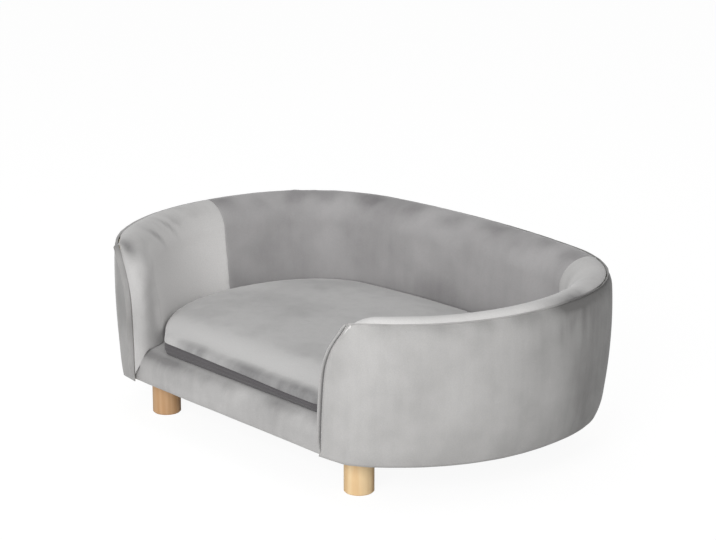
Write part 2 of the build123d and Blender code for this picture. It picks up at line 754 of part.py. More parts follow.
def inner_panel():
    """The panel on the inner side of the posts, notched over the tee nuts."""
    height = RIM_HEIGHT - INNER_PANEL_TOP_DROP - BOARD_TOP
    panel = curved_band(INNER_PANEL_DEPTH, INNER_PANEL_THICKNESS, BOARD_TOP, height)
    notch_height = TEE_NUT_FLANGE_THICKNESS + BOLT_TIP_GAP + LAYER_GAP
    for x, y in leg_places().values():
        panel -= upright(TEE_NUT_FLANGE_RADIUS + LAYER_GAP, x, y, BOARD_TOP - OVERRUN, notch_height + OVERRUN)
    return panel


def lining():
    """The thin cloth under the base, with holes for the leg bolts."""
    sheet = board(LINING_INSET, LINING_SETBACK, LEG_HEIGHT, LINING_THICKNESS)
    for x, y in leg_places().values():
        sheet -= upright(BOLT_RADIUS + LAYER_GAP, x, y, LEG_HEIGHT - OVERRUN, 2 * OVERRUN)
    return sheet


def staples(inset, z, thickness):
    """A row of staple crowns along the outline, on the underside of the base."""
    count = int(WALL_LENGTH / STAPLE_PITCH)
    crowns = []
    for index in range(1, count):
        place = WALL_LENGTH * index / count
        x, y = plan_point(place, inset)
        clear = LEG_RADIUS + STAPLE_LEG_CLEARANCE
        if any(hypot(x - leg_x, y - leg_y) < clear for leg_x, leg_y in leg_places().values()):
            continue
        ahead_x, ahead_y = plan_point(place + STAPLE_WIDTH, inset)
        frame = Plane((x, y, z), x_dir=(ahead_x - x, ahead_y - y, 0), z_dir=(0, 0, 1))
        crown = Solid.make_box(STAPLE_LENGTH, STAPLE_WIDTH, thickness)
        crowns.append(frame * Pos(-STAPLE_LENGTH / 2, -STAPLE_WIDTH / 2, 0) * crown)
    return Compound(crowns)


CUSHION_Z = SEAT_Z + LAYER_GAP
CUSHION_SEAM_Z = CUSHION_Z + CUSHION_BAND_HEIGHT


def cushion_corner(corner_x, front_y, side_end, shift):
    """The rounded front corner of one half: where it starts, its middle and where it ends."""
    corner_x -= shift * CUSHION_CORNER_DRAW
    turn = atan2(side_end.Y - front_y, abs(side_end.X) - corner_x)
    tangent = CUSHION_CORNER_RADIUS * tan(turn / 2)
    start = (corner_x - tangent, front_y)
    middle_y = front_y + CUSHION_CORNER_RADIUS * (1 - cos(turn / 2))
    middle = (start[0] + CUSHION_CORNER_RADIUS * sin(turn / 2), middle_y)
    end = (corner_x + tangent * cos(turn), front_y + tangent * sin(turn))
    return start, middle, end


def cushion_outline(inset, z):
    """The cushion's plan: a straight front, two corners and sides that follow the wall's foot."""
    gap = CUSHION_SIDE_GAP + inset
    front_y = FRONT_Y + CUSHION_FRONT_SETBACK + inset
    edges = []
    fronts = []
    for hand, end_inset in ((RIGHT, CUSHION_RIGHT_CORNER_INSET), (LEFT, CUSHION_LEFT_CORNER_INSET)):
        half = arc_edges(lambda turn: foot_depth(turn) + gap, START_HEADING, hand, z)
        corner = cushion_corner(FRONT_HALF_WIDTH - end_inset, front_y, half[0] @ 0, inset)
        points = [Vector(hand * x, y, z) for x, y in corner]
        edges += [ThreePointArc(*points), Line(points[2], half[0] @ 0)] + half
        fronts.append(points[0])
    return Wire([Line(*fronts)] + edges)


def cushion_body(inset, low, high):
    """The swelling band of the cushion between two heights, moved inward by the inset."""
    middle = (CUSHION_Z + CUSHION_SEAM_Z) / 2
    levels = ((low, CUSHION_BAND_BOW), (middle, 0.0), (high, CUSHION_BAND_BOW / 2))
    return Solid.make_loft([cushion_outline(inset + draw, z) for z, draw in levels])


def cushion_crown(inset, drop):
    """The crowned top of the cushion above its seam."""
    wires = []
    for band in range(CROWN_BANDS + 1):
        turn = pi / 2 * band / CROWN_BANDS
        z = CUSHION_SEAM_Z + sin(turn) ** CROWN_SQUARENESS * (CUSHION_CROWN - drop)
        draw = 1 - max(cos(turn), 0.0) ** CROWN_SQUARENESS
        wires.append(cushion_outline(inset + CUSHION_BAND_BOW / 2 + draw * CROWN_INSET, z))
    return Solid.make_loft(wires, True)


ZIP_Y = ZIP_BACK_OFFSET
ZIP_TAPE_Z = CUSHION_Z + COVER_THICKNESS + ZIP_RECESS
ZIP_GROOVE_HALF = ZIP_SLOT_WIDTH / 2 + ZIP_TAPE_MARGIN


def zip_box(half_length, half_width, low, high):
    return block((-half_length, ZIP_Y - half_width, low), (half_length, ZIP_Y + half_width, high))


def cushion_foam():
    """The foam core, with a groove over the zip."""
    inset = COVER_THICKNESS + CORE_CLEARANCE
    low = CUSHION_Z + SKIN
    core = cushion_body(inset, low, CUSHION_SEAM_Z) + cushion_crown(inset, inset)
    half_length = ZIP_LENGTH / 2 + ZIP_TAPE_MARGIN + LAYER_GAP
    groove_top = ZIP_TAPE_Z + ZIP_TAPE_THICKNESS + LAYER_GAP
    return core - zip_box(half_length, ZIP_GROOVE_HALF + LAYER_GAP, low - OVERRUN, groove_top)


def cushion_top_cover():
    """The crowned upper panel of the cushion's cover."""
    inner = cushion_crown(COVER_THICKNESS, COVER_THICKNESS)
    return cushion_crown(0.0, 0.0) - inner


def cushion_boxing():
    """The band round the cushion, between its lower and upper panels."""
    low = CUSHION_Z + COVER_THICKNESS
    return cushion_body(0.0, low, CUSHION_SEAM_Z) - cushion_body(COVER_THICKNESS, low, CUSHION_SEAM_Z)


def cushion_bottom_cover():
    """The lower panel, whose edges turn up along the zip."""
    sheet = extrude(Face(cushion_outline(CUSHION_BAND_BOW, CUSHION_Z)), COVER_THICKNESS, dir=(0, 0, 1))
    half = ZIP_SLOT_WIDTH / 2
    lips = zip_box(ZIP_LENGTH / 2 + COVER_THICKNESS, half + COVER_THICKNESS, CUSHION_Z, ZIP_TAPE_Z)
    return sheet + lips - zip_box(ZIP_LENGTH / 2, half, CUSHION_Z - OVERRUN, ZIP_TAPE_Z + OVERRUN)


def zip_tape():
    half_length = ZIP_LENGTH / 2 + ZIP_TAPE_MARGIN
    return zip_box(half_length, ZIP_GROOVE_HALF, ZIP_TAPE_Z, ZIP_TAPE_Z + ZIP_TAPE_THICKNESS)


def zip_chain():
    half_length = ZIP_LENGTH / 2 - ZIP_RUN_GAP
    return zip_box(half_length, ZIP_CHAIN_WIDTH / 2, ZIP_TAPE_Z - ZIP_CHAIN_HEIGHT, ZIP_TAPE_Z)


SLIDER_START = -ZIP_LENGTH / 2 + SLIDER_END_GAP
SLIDER_Z = ZIP_TAPE_Z - ZIP_CHAIN_HEIGHT - ZIP_RUN_GAP - SLIDER_PLATE


def zip_slider():
    """The slider, a channel that runs round the chain."""
    half = SLIDER_WIDTH / 2
    end = SLIDER_START + SLIDER_LENGTH
    body = block((SLIDER_START, ZIP_Y - half, SLIDER_Z), (end, ZIP_Y + half, ZIP_TAPE_Z - ZIP_RUN_GAP))
    channel_half = ZIP_CHAIN_WIDTH / 2 + ZIP_RUN_GAP
    low = (SLIDER_START - OVERRUN, ZIP_Y - channel_half, SLIDER_Z + SLIDER_PLATE)
    high = (end + OVERRUN, ZIP_Y + channel_half, ZIP_TAPE_Z + OVERRUN)
    return body - block(low, high)


def zip_pull():
    """The flat pull that lies against the underside of the slider."""
    half = PULL_WIDTH / 2
    top = SLIDER_Z
    start = SLIDER_START + SLIDER_LENGTH / 3
    return block((start, ZIP_Y - half, top - PULL_THICKNESS), (start + PULL_LENGTH, ZIP_Y + half, top))


def build_parts():
    """Every node of the sofa bed, by name."""
    hem_staples_z = LEG_HEIGHT + LINING_THICKNESS
    lining_staples_z = LEG_HEIGHT - LINING_STAPLE_THICKNESS
    parts = {
        "base_board": base_board(),
        "front_rail_board": front_rail_board(),
        "deck_board": board(HOLLOW_BACK, RAIL_BOARD_SETBACK, DECK_BOARD_Z, DECK_BOARD_THICKNESS),
        "deck_foam": deck_foam(),
        "deck_cover": deck_cover(),
        "top_rail": curved_band(CORE_DEPTH, POST_DEPTH, TOP_RAIL_Z, TOP_RAIL_THICKNESS),
        "outer_panel": curved_band(FRAME_DEPTH, OUTER_PANEL_THICKNESS, BOARD_Z, PANEL_TOP - BOARD_Z),
        "inner_panel": inner_panel(),
        "outer_foam": outer_foam(),
        "arm_front_board_right": arm_front_board(),
        "arm_front_board_left": mirrored(arm_front_board()),
        "front_rail_foam": front_rail_foam(),
        "outer_cover": outer_cover(),
        "front_rail_cover": front_rail_cover(),
        "base_lining": lining(),
        "hem_staples": staples(HEM_STAPLE_INSET, hem_staples_z, HEM_STAPLE_THICKNESS),
        "lining_staples": staples(LINING_STAPLE_INSET, lining_staples_z, LINING_STAPLE_THICKNESS),
        "post_screws": Compound([post_screw(place) for place in post_places()]),
        "cushion_foam": cushion_foam(),
        "cushion_top_cover": cushion_top_cover(),
        "cushion_boxing": cushion_boxing(),
        "cushion_bottom_cover": cushion_bottom_cover(),
        "zip_tape": zip_tape(),
        "zip_chain": zip_chain(),
        "zip_slider": zip_slider(),
        "zip_pull": zip_pull(),
    }
    parts.update(wall_covers_and_foams())
    for index in range(BATTEN_COUNT):
        parts[f"deck_batten_{index + 1}"] = deck_batten(index)
    for index, place in enumerate(post_places()):
        parts[f"wall_post_{index + 1}"] = wall_post(place)
    for name, (x, y) in leg_places().items():
        parts[f"leg_{name}"] = leg(x, y)
        parts[f"hanger_bolt_{name}"] = hanger_bolt(x, y)
        parts[f"tee_nut_{name}"] = tee_nut(x, y)
    return parts


os.makedirs("parts", exist_ok=True)
for node, shape in build_parts().items():
    export_step(shape, f"parts/{node}.step")
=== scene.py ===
"""Looks of the small sofa bed: velvet tub wall, loose crowned cushion, front rail and round wooden legs."""

import json
import logging
from dataclasses import dataclass, field
from enum import Enum
from math import atan, atan2, ceil, cos, degrees, exp, hypot, pi, radians, sin, tan

import bpy
import numpy as np
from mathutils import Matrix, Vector, noise

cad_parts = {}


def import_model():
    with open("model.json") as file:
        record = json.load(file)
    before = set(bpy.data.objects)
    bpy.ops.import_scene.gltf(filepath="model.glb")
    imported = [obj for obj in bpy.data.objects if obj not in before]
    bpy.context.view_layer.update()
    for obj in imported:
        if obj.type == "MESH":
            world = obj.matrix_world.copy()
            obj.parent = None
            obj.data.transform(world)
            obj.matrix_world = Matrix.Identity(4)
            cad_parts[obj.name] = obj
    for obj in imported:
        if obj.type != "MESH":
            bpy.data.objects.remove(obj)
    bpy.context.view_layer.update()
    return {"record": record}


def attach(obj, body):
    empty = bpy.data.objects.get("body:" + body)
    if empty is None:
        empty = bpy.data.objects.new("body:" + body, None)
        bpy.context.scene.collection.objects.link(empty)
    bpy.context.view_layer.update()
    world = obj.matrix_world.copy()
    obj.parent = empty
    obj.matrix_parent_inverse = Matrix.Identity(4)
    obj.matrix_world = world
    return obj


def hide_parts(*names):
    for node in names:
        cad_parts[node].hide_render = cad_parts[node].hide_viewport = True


Piece, Mesh, Material, Socket = bpy.types.Object, bpy.types.Mesh, bpy.types.Material, bpy.types.NodeSocket
LOG = logging.getLogger("dog_sofa_bed")

# Heights of the wall's hem and of the seat, the cloth's thickness, a seam's roll and the zip's line, in metres
HEM_Z = 0.053
SEAT_Z = 0.0990
CLOTH = 0.0012
LIP = 0.0016
ZIP_Y = 0.060
# A distance too great for a seam to be felt
FAR = 9.0
WHITE = (1.0, 1.0, 1.0)


class Side(Enum):
    """The two halves of the sofa, as signs along X."""

    LEFT = -1
    RIGHT = 1


class Edge(Enum):
    """The four borders of a grid of points, as the axis across them and whether they come first."""

    FIRST_ROW = (0, True)
    LAST_ROW = (0, False)
    FIRST_COLUMN = (1, True)
    LAST_COLUMN = (1, False)


class Panel(Enum):
    """The inner panels of the wall, by the names of their pieces."""

    RIGHT_ARM = "right_arm_panel"
    BACK = "back_panel"
    LEFT_ARM = "left_arm_panel"


def mix(first: float, second: float, share: float) -> float:
    """Returns the value at a share of the way from first to second."""
    return first + (second - first) * share


def smooth(value: float) -> float:
    """Returns a share from 0 to 1 with a soft start and end."""
    share = min(max(value, 0.0), 1.0)
    return share * share * (3 - 2 * share)


def eased(place: float, length: float) -> float:
    """Returns a share that falls from 1 at the arm's front to 0 at a length behind it, fast at first."""
    return (1.0 - min(max(place, 0.0) / length, 1.0)) ** 2


def bell(value: float, middle: float, width: float) -> float:
    """Returns a share that is 1 at the middle and fades out softly over the width on both sides."""
    return exp(-(((value - middle) / width) ** 2))


def ripple(x: float, y: float, seed: float, z: float = 0.0) -> float:
    """Returns smooth noise from about -1 to 1 at a point."""
    return noise.noise(Vector((x + seed, y - seed, z + 2 * seed)))


# Lines and meshes


def arc_points(start: tuple, end: tuple, bow: float, count: int) -> np.ndarray:
    """A circular arc between two points.

    Args:
        start: First point of the pair.
        end: Second point of the pair.
        bow: How far the arc bows to the left of its way, as a share of the chord.
        count: How many steps.

    Returns:
        The points, shape (count + 1, 2).
    """
    a, b = np.asarray(start, dtype=float), np.asarray(end, dtype=float)
    chord = b - a
    left = np.array((-chord[1], chord[0]))
    half_turn = 2 * atan(2 * bow)
    t = np.linspace(-1.0, 1.0, count + 1)[:, None]
    if abs(half_turn) < 1e-6:
        return a + chord * (t + 1) / 2
    reach = 0.5 / sin(half_turn)
    centre = (a + b) / 2 - left * reach * cos(half_turn)
    return centre + chord * reach * np.sin(t * half_turn) + left * reach * np.cos(t * half_turn)


def arcs_through(points: list, arcs: list) -> np.ndarray:
    """A line of circular arcs through points.

    Args:
        points: The (x, y) points in order.
        arcs: The bow and the count of steps between each two points.

    Returns:
        The points of the line, shape (count, 2).
    """
    runs = [arc_points(a, b, *arc) for a, b, arc in zip(points, points[1:], arcs)]
    return np.concatenate([runs[0], *(run[1:] for run in runs[1:])])


def softened(line: np.ndarray, rounds: int) -> np.ndarray:
    """Rounds the corners of a line, or the rows of a grid, with the ends unmoved.

    Args:
        line: The points.
        rounds: How often each point moves towards its neighbours.

    Returns:
        The softened points.
    """
    line = line.copy()
    for _ in range(rounds):
        line[1:-1] = 0.25 * line[:-2] + 0.5 * line[1:-1] + 0.25 * line[2:]
    return line


def resample(line: np.ndarray, shares: np.ndarray) -> np.ndarray:
    """Places points anew along a polyline.

    Args:
        line: The polyline's points.
        shares: Shares of its length.

    Returns:
        The points at those shares.
    """
    steps = np.linalg.norm(np.diff(line, axis=0), axis=1)
    along = np.concatenate([[0.0], np.cumsum(steps)])
    along /= along[-1]
    return np.stack([np.interp(shares, along, line[:, k]) for k in range(line.shape[1])], axis=1)


def unit(vectors: np.ndarray) -> np.ndarray:
    """Returns vectors brought to length one."""
    return vectors / np.maximum(np.linalg.norm(vectors, axis=-1, keepdims=True), 1e-12)


def add_lip(grid: np.ndarray, edge: Edge, radius: float, depth: float, fade: int = 0) -> np.ndarray:
    """Rolls one border of a sheet over into a seam.

    Args:
        grid: Points of the sheet, its normals pointing outwards.
        edge: The border to roll.
        radius: Radius of the roll.
        depth: How far the cloth then runs into the seam.
        fade: Points over which the roll shrinks at the border's ends.

    Returns:
        The grid with the extra points.
    """
    axis, at_start = edge.value
    rim, inner = (0, 1) if at_start else (-1, -2)
    normals = unit(np.cross(np.gradient(grid, axis=0), np.gradient(grid, axis=1)))
    start, up = np.take(grid, rim, axis=axis), np.take(normals, rim, axis=axis)
    out = start - np.take(grid, inner, axis=axis)
    out = unit(out - up * np.sum(out * up, axis=1, keepdims=True))
    places = np.arange(len(start))
    ends = np.minimum(places, places[::-1]) / fade if fade else np.ones(len(start))
    size = np.clip(ends, 0.1, 1.0)[:, None]
    turns = [pi / 8 * step for step in range(1, 5)]
    lines = [start + size * radius * (out * sin(turn) - up * (1 - cos(turn))) for turn in turns]
    lines.append(lines[-1] - up * size * depth)
    strip = np.stack(lines[::-1] if at_start else lines, axis=axis)
    return np.concatenate((strip, grid) if at_start else (grid, strip), axis=axis)


def new_object(name: str, mesh: Mesh) -> Piece:
    """Adds a mesh to the scene and returns its object."""
    piece = bpy.data.objects.new(name, mesh)
    bpy.context.scene.collection.objects.link(piece)
    return piece


def mesh_from(name: str, points: list, faces: list) -> Mesh:
    """Makes a smooth-shaded mesh.

    Args:
        name: Name of the mesh.
        points: Its points.
        faces: Its faces, as numbers of points.

    Returns:
        The new mesh.
    """
    mesh = bpy.data.meshes.new(name)
    mesh.from_pydata([tuple(p) for p in points], [], faces)
    mesh.validate()
    mesh.update()
    mesh.shade_smooth()
    return mesh


def cloth_object(name: str, points: list, faces: list, thickness: float, nap_and_painted_light: np.ndarray | None = None) -> Piece:
    """A piece of cloth.

    Args:
        name: Name of the piece.
        points: Points of its outer face.
        faces: Faces whose normals point outwards.
        thickness: Thickness, added on the inner side.
        nap_and_painted_light: For each point, how far the pile is laid dark, with painted shade added; below zero
            it is a painted highlight.

    Returns:
        The new object.
    """
    mesh = mesh_from(name, points, faces)
    # The attribute holds the pile's dark patches together with painted shade and painted highlights
    if nap_and_painted_light is not None:
        shade = mesh.attributes.new("nap_and_painted_light", "FLOAT", "POINT")
        shade.data.foreach_set("value", nap_and_painted_light.reshape(-1).astype(np.float32))
    piece = new_object(name, mesh)
    solid = piece.modifiers.new("thickness", "SOLIDIFY")
    solid.thickness = thickness
    solid.offset = -1
    return piece


def sheet_object(
    name: str, grid: np.ndarray, nap_and_painted_light: np.ndarray, thickness: float = CLOTH, closed: bool = False
) -> Piece:
    """A sheet of cloth from a grid of points.

    Args:
        name: Name of the piece.
        grid: Points whose normals point outwards.
        nap_and_painted_light: Pile and painted light numbers, widened evenly where the grid has gained a lip.
        thickness: Thickness of the cloth.
        closed: Whether the last row joins the first.

    Returns:
        The new object.
    """
    rows, columns = grid.shape[:2]
    extra = [size - have for size, have in zip((rows, columns), nap_and_painted_light.shape)]
    nap_and_painted_light = np.pad(nap_and_painted_light, [(e // 2, e - e // 2) for e in extra], mode="edge")
    faces = []
    for i in range(rows if closed else rows - 1):
        low, high = i * columns, ((i + 1) % rows) * columns
        faces += [(low + j, high + j, high + j + 1, low + j + 1) for j in range(columns - 1)]
    return cloth_object(name, grid.reshape(-1, 3), faces, thickness, nap_and_painted_light)


def ring_faces(rings: int, count: int) -> list:
    """Returns the faces between neighbouring rings of points, counted ring by ring."""
    pairs = [(k, (k + 1) % count) for k in range(count)]
    lows = range(0, (rings - 1) * count, count)
    return [(low + a, low + b, low + count + b, low + count + a) for low in lows for a, b in pairs]


def closing_faces(start: int, count: int) -> list:
    """Returns the faces that close a ring of points across, from its start number."""
    quads = [(k, (k + 1) % count, count - 1 - k, (count - k) % count) for k in range(count // 2)]
    return [tuple(start + k for k in dict.fromkeys(quad)) for quad in quads]


def half_outline(plan: "WallPlan", inset: float, steps: int, front: float, slant: float) -> list:
    """The right half of a sheet that lies inside the wall, cut straight at the front.

    Args:
        plan: Outline of the wall.
        inset: Distance inside it.
        steps: Steps along the half outline.
        front: Where the straight front edge lies.
        slant: How far the corner draws in for each metre towards the front edge.

    Returns:
        The (x, y) points from the front corner to the middle of the back.
    """
    points = [plan.point(plan.half * k / steps, inset) for k in range(steps + 1)]
    points = [p for p in points if p[1] > front]
    x, y = points[0]
    return [(x - (y - front) * slant, front), *points]


def flat_size(outline: list) -> tuple:
    """Returns the width, the length and the area of a flat sheet from its half outline."""
    area = 2 * sum((a[0] + b[0]) / 2 * abs(b[1] - a[1]) for a, b in zip(outline, outline[1:]))
    return 2 * max(p[0] for p in outline), outline[-1][1] - outline[0][1], area


# Finishes


class NodeSheet:
    """A material and the nodes that make it up."""

    def __init__(self, name: str) -> None:
        """Starts a material with its Principled shader alone.

        Args:
            name: Name of the material.
        """
        self.material = bpy.data.materials.new(name)
        self.material.use_nodes = True
        self.tree = self.material.node_tree
        self.tree.nodes.clear()
        self.shader = self.add("BsdfPrincipled")
        self.end = self.add("OutputMaterial", {"Surface": self.shader.outputs[0]})
        self.place = self.add("TexCoord").outputs["Object"]

    def add(self, kind: str, inputs: dict | None = None, **settings: object) -> bpy.types.Node:
        """Adds a node.

        Args:
            kind: The node's type without its prefix.
            inputs: What its inputs are fed with, by name or number.
            settings: Its own settings.

        Returns:
            The new node.
        """
        node = self.tree.nodes.new("ShaderNode" + kind)
        for name, value in settings.items():
            setattr(node, name, value)
        self.feed(node, inputs or {})
        return node

    def feed(self, node: bpy.types.Node, inputs: dict) -> None:
        """Links a node's inputs, or sets them to numbers, vectors or colours.

        Args:
            node: The node.
            inputs: What its inputs are fed with, by name or number.
        """
        for key, value in inputs.items():
            socket = node.inputs[key]
            if isinstance(value, Socket):
                self.tree.links.new(value, socket)
            else:
                socket.default_value = (*value, 1.0) if socket.type == "RGBA" else value

    def scaled(self, scale: tuple) -> Socket:
        """Returns the object coordinates multiplied along each axis."""
        return self.add("Mapping", {"Vector": self.place, "Scale": scale}).outputs[0]

    def noise(self, place: Socket, scale: float, detail: float, rough: float = 0.55) -> Socket:
        """Returns the value of a noise texture."""
        inputs = {"Vector": place, "Scale": scale, "Detail": detail, "Roughness": rough}
        return self.add("TexNoise", inputs).outputs["Fac"]

    def ramp(self, value: Socket, first: tuple, last: tuple) -> Socket:
        """Returns the colour between two (position, colour) stops."""
        node = self.add("ValToRGB", {0: value})
        for element, (position, colour) in zip(node.color_ramp.elements, (first, last)):
            element.position, element.color = position, (*colour, 1.0)
        return node.outputs[0]

    def math(self, operation: str, first: object, second: object) -> Socket:
        """Returns the result of an operation on two sockets or numbers."""
        return self.add("Math", {0: first, 1: second}, operation=operation).outputs[0]

    def range(self, value: Socket, low: float, high: float, to: tuple) -> Socket:
        """Returns a value moved from one range to another, clamped."""
        inputs = {"Value": value, "From Min": low, "From Max": high, "To Min": to[0], "To Max": to[1]}
        return self.add("MapRange", inputs).outputs[0]

    def blend(self, share: object, first: object, second: object, kind: str = "MIX") -> Socket:
        """Returns the mix of two colours."""
        return self.add("Mix", {0: share, 6: first, 7: second}, data_type="RGBA", blend_type=kind).outputs[2]

    def finish(self, inputs: dict, height: Socket, strength: float, depth: float) -> Material:
        """Feeds the shader and gives it relief.

        Args:
            inputs: What the shader's inputs are fed with.
            height: Height of the relief.
            strength: How strongly the relief shows.
            depth: How deep the relief is.

        Returns:
            The material.
        """
        bump = self.add("Bump", {"Strength": strength, "Distance": depth, "Height": height})
        self.feed(self.shader, {**inputs, "Normal": bump.outputs[0]})
        return self.material


@dataclass(frozen=True)
class Velvet:
    """Short-pile velvet, whose pile lies lighter and darker in soft patches, with painted shade and painted
    highlights read from a point attribute.
    """

    name: str
    light: tuple
    dark: tuple
    patch_scale: float = 9.0
    patch_share: float = 0.28
    streaks: tuple = (70.0, 70.0, 9.0)
    streak_share: float = 0.13
    sheen: float = 0.35

    def build(self) -> Material:
        """Builds the material.

        Returns:
            Velvet with pile patches, streaks, painted shade, painted highlights, fine pile grain and sheen.
        """
        sheet = NodeSheet(self.name)
        nap_and_painted_light = sheet.add("Attribute", attribute_name="nap_and_painted_light").outputs["Fac"]
        patches = sheet.noise(sheet.place, self.patch_scale, 3.0, 0.6)
        patches = sheet.range(patches, 0.42, 0.68, (0.0, self.patch_share))
        streaks = sheet.noise(sheet.scaled(self.streaks), 1.0, 3.0, 0.6)
        streaks = sheet.range(streaks, 0.45, 0.75, (0.0, self.streak_share))
        streaks = sheet.math("MULTIPLY", streaks, sheet.range(nap_and_painted_light, 0.0, 1.0, (0.5, 1.6)))
        # Pile patches and streaks plus the attribute's painted shade; 1 gives the dark tone
        pile_and_painted_light = sheet.math("ADD", sheet.math("ADD", patches, streaks), nap_and_painted_light)
        tone = sheet.blend(sheet.math("MINIMUM", pile_and_painted_light, 1.0), self.light, self.dark)
        pile = sheet.noise(sheet.place, 900.0, 2.0, 0.7)
        # Below zero the attribute is a painted highlight, which lifts the colour
        painted_highlight = sheet.math("MAXIMUM", sheet.math("MULTIPLY", nap_and_painted_light, -0.5), 0.0)
        grain = sheet.range(pile, 0.3, 0.7, (0.93, 1.06))
        grain = sheet.math("MULTIPLY", grain, sheet.math("ADD", painted_highlight, 1.0))
        grey = sheet.add("CombineColor", {0: grain, 1: grain, 2: grain}).outputs[0]
        height = sheet.math("ADD", sheet.math("MULTIPLY", pile, 0.35), sheet.noise(sheet.place, 260.0, 2.0))
        inputs = {
            "Base Color": sheet.blend(1.0, tone, grey, "MULTIPLY"),
            "Roughness": 0.85,
            "Sheen Weight": self.sheen,
            "Sheen Roughness": 0.45,
            "Specular IOR Level": 0.2,
        }
        return sheet.finish(inputs, height, 0.35, 0.0006)


@dataclass(frozen=True)
class PlainCloth:
    """Woven or bonded cloth with a fine regular grain."""

    name: str
    colour: tuple
    thread_pitch: float = 0.0008
    contrast: float = 0.25

    def build(self) -> Material:
        """Builds the material.

        Returns:
            Cloth with crossing threads and slight fading.
        """
        sheet = NodeSheet(self.name)
        inputs = {"Vector": sheet.place, "Scale": 0.05 / self.thread_pitch * 6.28}
        x, y, z = (sheet.add("TexWave", inputs, bands_direction=axis).outputs["Fac"] for axis in "XYZ")
        weave = sheet.math("MULTIPLY", sheet.math("ADD", sheet.math("ADD", x, y), z), 0.33)
        fade = sheet.noise(sheet.place, 22.0, 3.0)
        shade = sheet.math("ADD", sheet.math("MULTIPLY", weave, 0.5), fade)
        shade = sheet.range(shade, 0.3, 1.2, (0.0, 1.0))
        paler = tuple(min(1.0, c * (1 + self.contrast) + 0.01) for c in self.colour)
        colour = sheet.blend(shade, self.colour, paler)
        return sheet.finish({"Base Color": colour, "Roughness": 0.9, "Sheen Weight": 0.15}, weave, 0.4, 0.0004)


@dataclass(frozen=True)
class Timber:
    """Bare or oiled wood with its grain along one axis."""

    name: str
    light: tuple
    dark: tuple
    along: int = 2
    ring_scale: float = 26.0
    roughness: float = 0.5
    # Colour multiplied into the wood where object X is below zero: painted shade
    left_painted_shade: tuple = WHITE

    def build(self) -> Material:
        """Builds the material.

        Returns:
            Wood with growth rings, fine pores, a slight change of tone and painted shade multiplied in where object
            X is below zero.
        """
        sheet = NodeSheet(self.name)
        grain = tuple(0.06 if axis == self.along else 1.0 for axis in range(3))
        fine = tuple(40.0 if axis == self.along else 900.0 for axis in range(3))
        inputs = {"Vector": sheet.scaled(grain), "Scale": self.ring_scale, "Distortion": 7.0}
        inputs.update({"Detail": 3.0, "Detail Scale": 2.5})
        rings = sheet.add("TexWave", inputs, wave_type="RINGS", rings_direction="XYZ"[self.along]).outputs["Fac"]
        pores = sheet.noise(sheet.scaled(fine), 1.0, 3.0)
        tone = sheet.math("ADD", sheet.math("MULTIPLY", rings, 0.6), sheet.math("MULTIPLY", pores, 0.5))
        wood = sheet.ramp(tone, (0.15, self.light), (0.95, self.dark))
        # Painted shade: everything where object X is below zero is darkened by the left-hand colour
        across = sheet.add("SeparateXYZ", {0: sheet.place}).outputs[0]
        painted_shade_tint = sheet.blend(sheet.math("LESS_THAN", across, 0.0), WHITE, self.left_painted_shade)
        inputs = {
            "Base Color": sheet.blend(1.0, wood, painted_shade_tint, "MULTIPLY"),
            "Roughness": sheet.range(pores, 0.3, 0.7, (self.roughness - 0.08, self.roughness + 0.12)),
        }
        return sheet.finish(inputs, pores, 0.15, 0.0003)


@dataclass(frozen=True)
class FoamFinish:
    """Open-cell upholstery foam."""

    name: str
    colour: tuple

    def build(self) -> Material:
        """Builds the material.

        Returns:
            Foam with small dark cells.
        """
        sheet = NodeSheet(self.name)
        cells = sheet.add("TexVoronoi", {"Vector": sheet.place, "Scale": 700.0}).outputs["Distance"]
        darker = tuple(c * 0.7 for c in self.colour)
        colour = sheet.ramp(cells, (0.0, darker), (0.5, self.colour))
        return sheet.finish({"Base Color": colour, "Roughness": 0.95}, cells, 0.5, 0.0005)


@dataclass(frozen=True)
class Metal:
    """Zinc-plated or lacquered metal with light wear."""

    name: str
    colour: tuple
    metallic: float = 1.0
    roughness: float = 0.35

    def build(self) -> Material:
        """Builds the material.

        Returns:
            Metal with cloudy roughness.
        """
        sheet = NodeSheet(self.name)
        clouds = sheet.noise(sheet.place, 160.0, 4.0)
        worn = tuple(min(1.0, c * 1.25) for c in self.colour)
        inputs = {
            "Base Color": sheet.ramp(clouds, (0.35, self.colour), (0.75, worn)),
            "Metallic": self.metallic,
            "Roughness": sheet.range(clouds, 0.3, 0.7, (self.roughness - 0.08, self.roughness + 0.15)),
        }
        return sheet.finish(inputs, clouds, 0.05, 0.0002)


def dress(piece: Piece, material: Material, slot: str) -> None:
    """Gives a piece its finish."""
    piece.data.materials.clear()
    piece.data.materials.append(material)


# The wall's plan


@dataclass(frozen=True)
class PlanArc:
    """One tangent arc of the half outline."""

    centre_x: float
    centre_y: float
    radius: float
    start: float
    end: float

    @property
    def length(self) -> float:
        """Length of the arc."""
        return self.radius * radians(self.end - self.start)

    def point(self, heading: float, inset: float) -> tuple:
        """Returns the point at a heading, moved inward by the inset."""
        turn, reach = radians(heading), self.radius - inset
        return self.centre_x + reach * sin(turn), self.centre_y - reach * cos(turn)


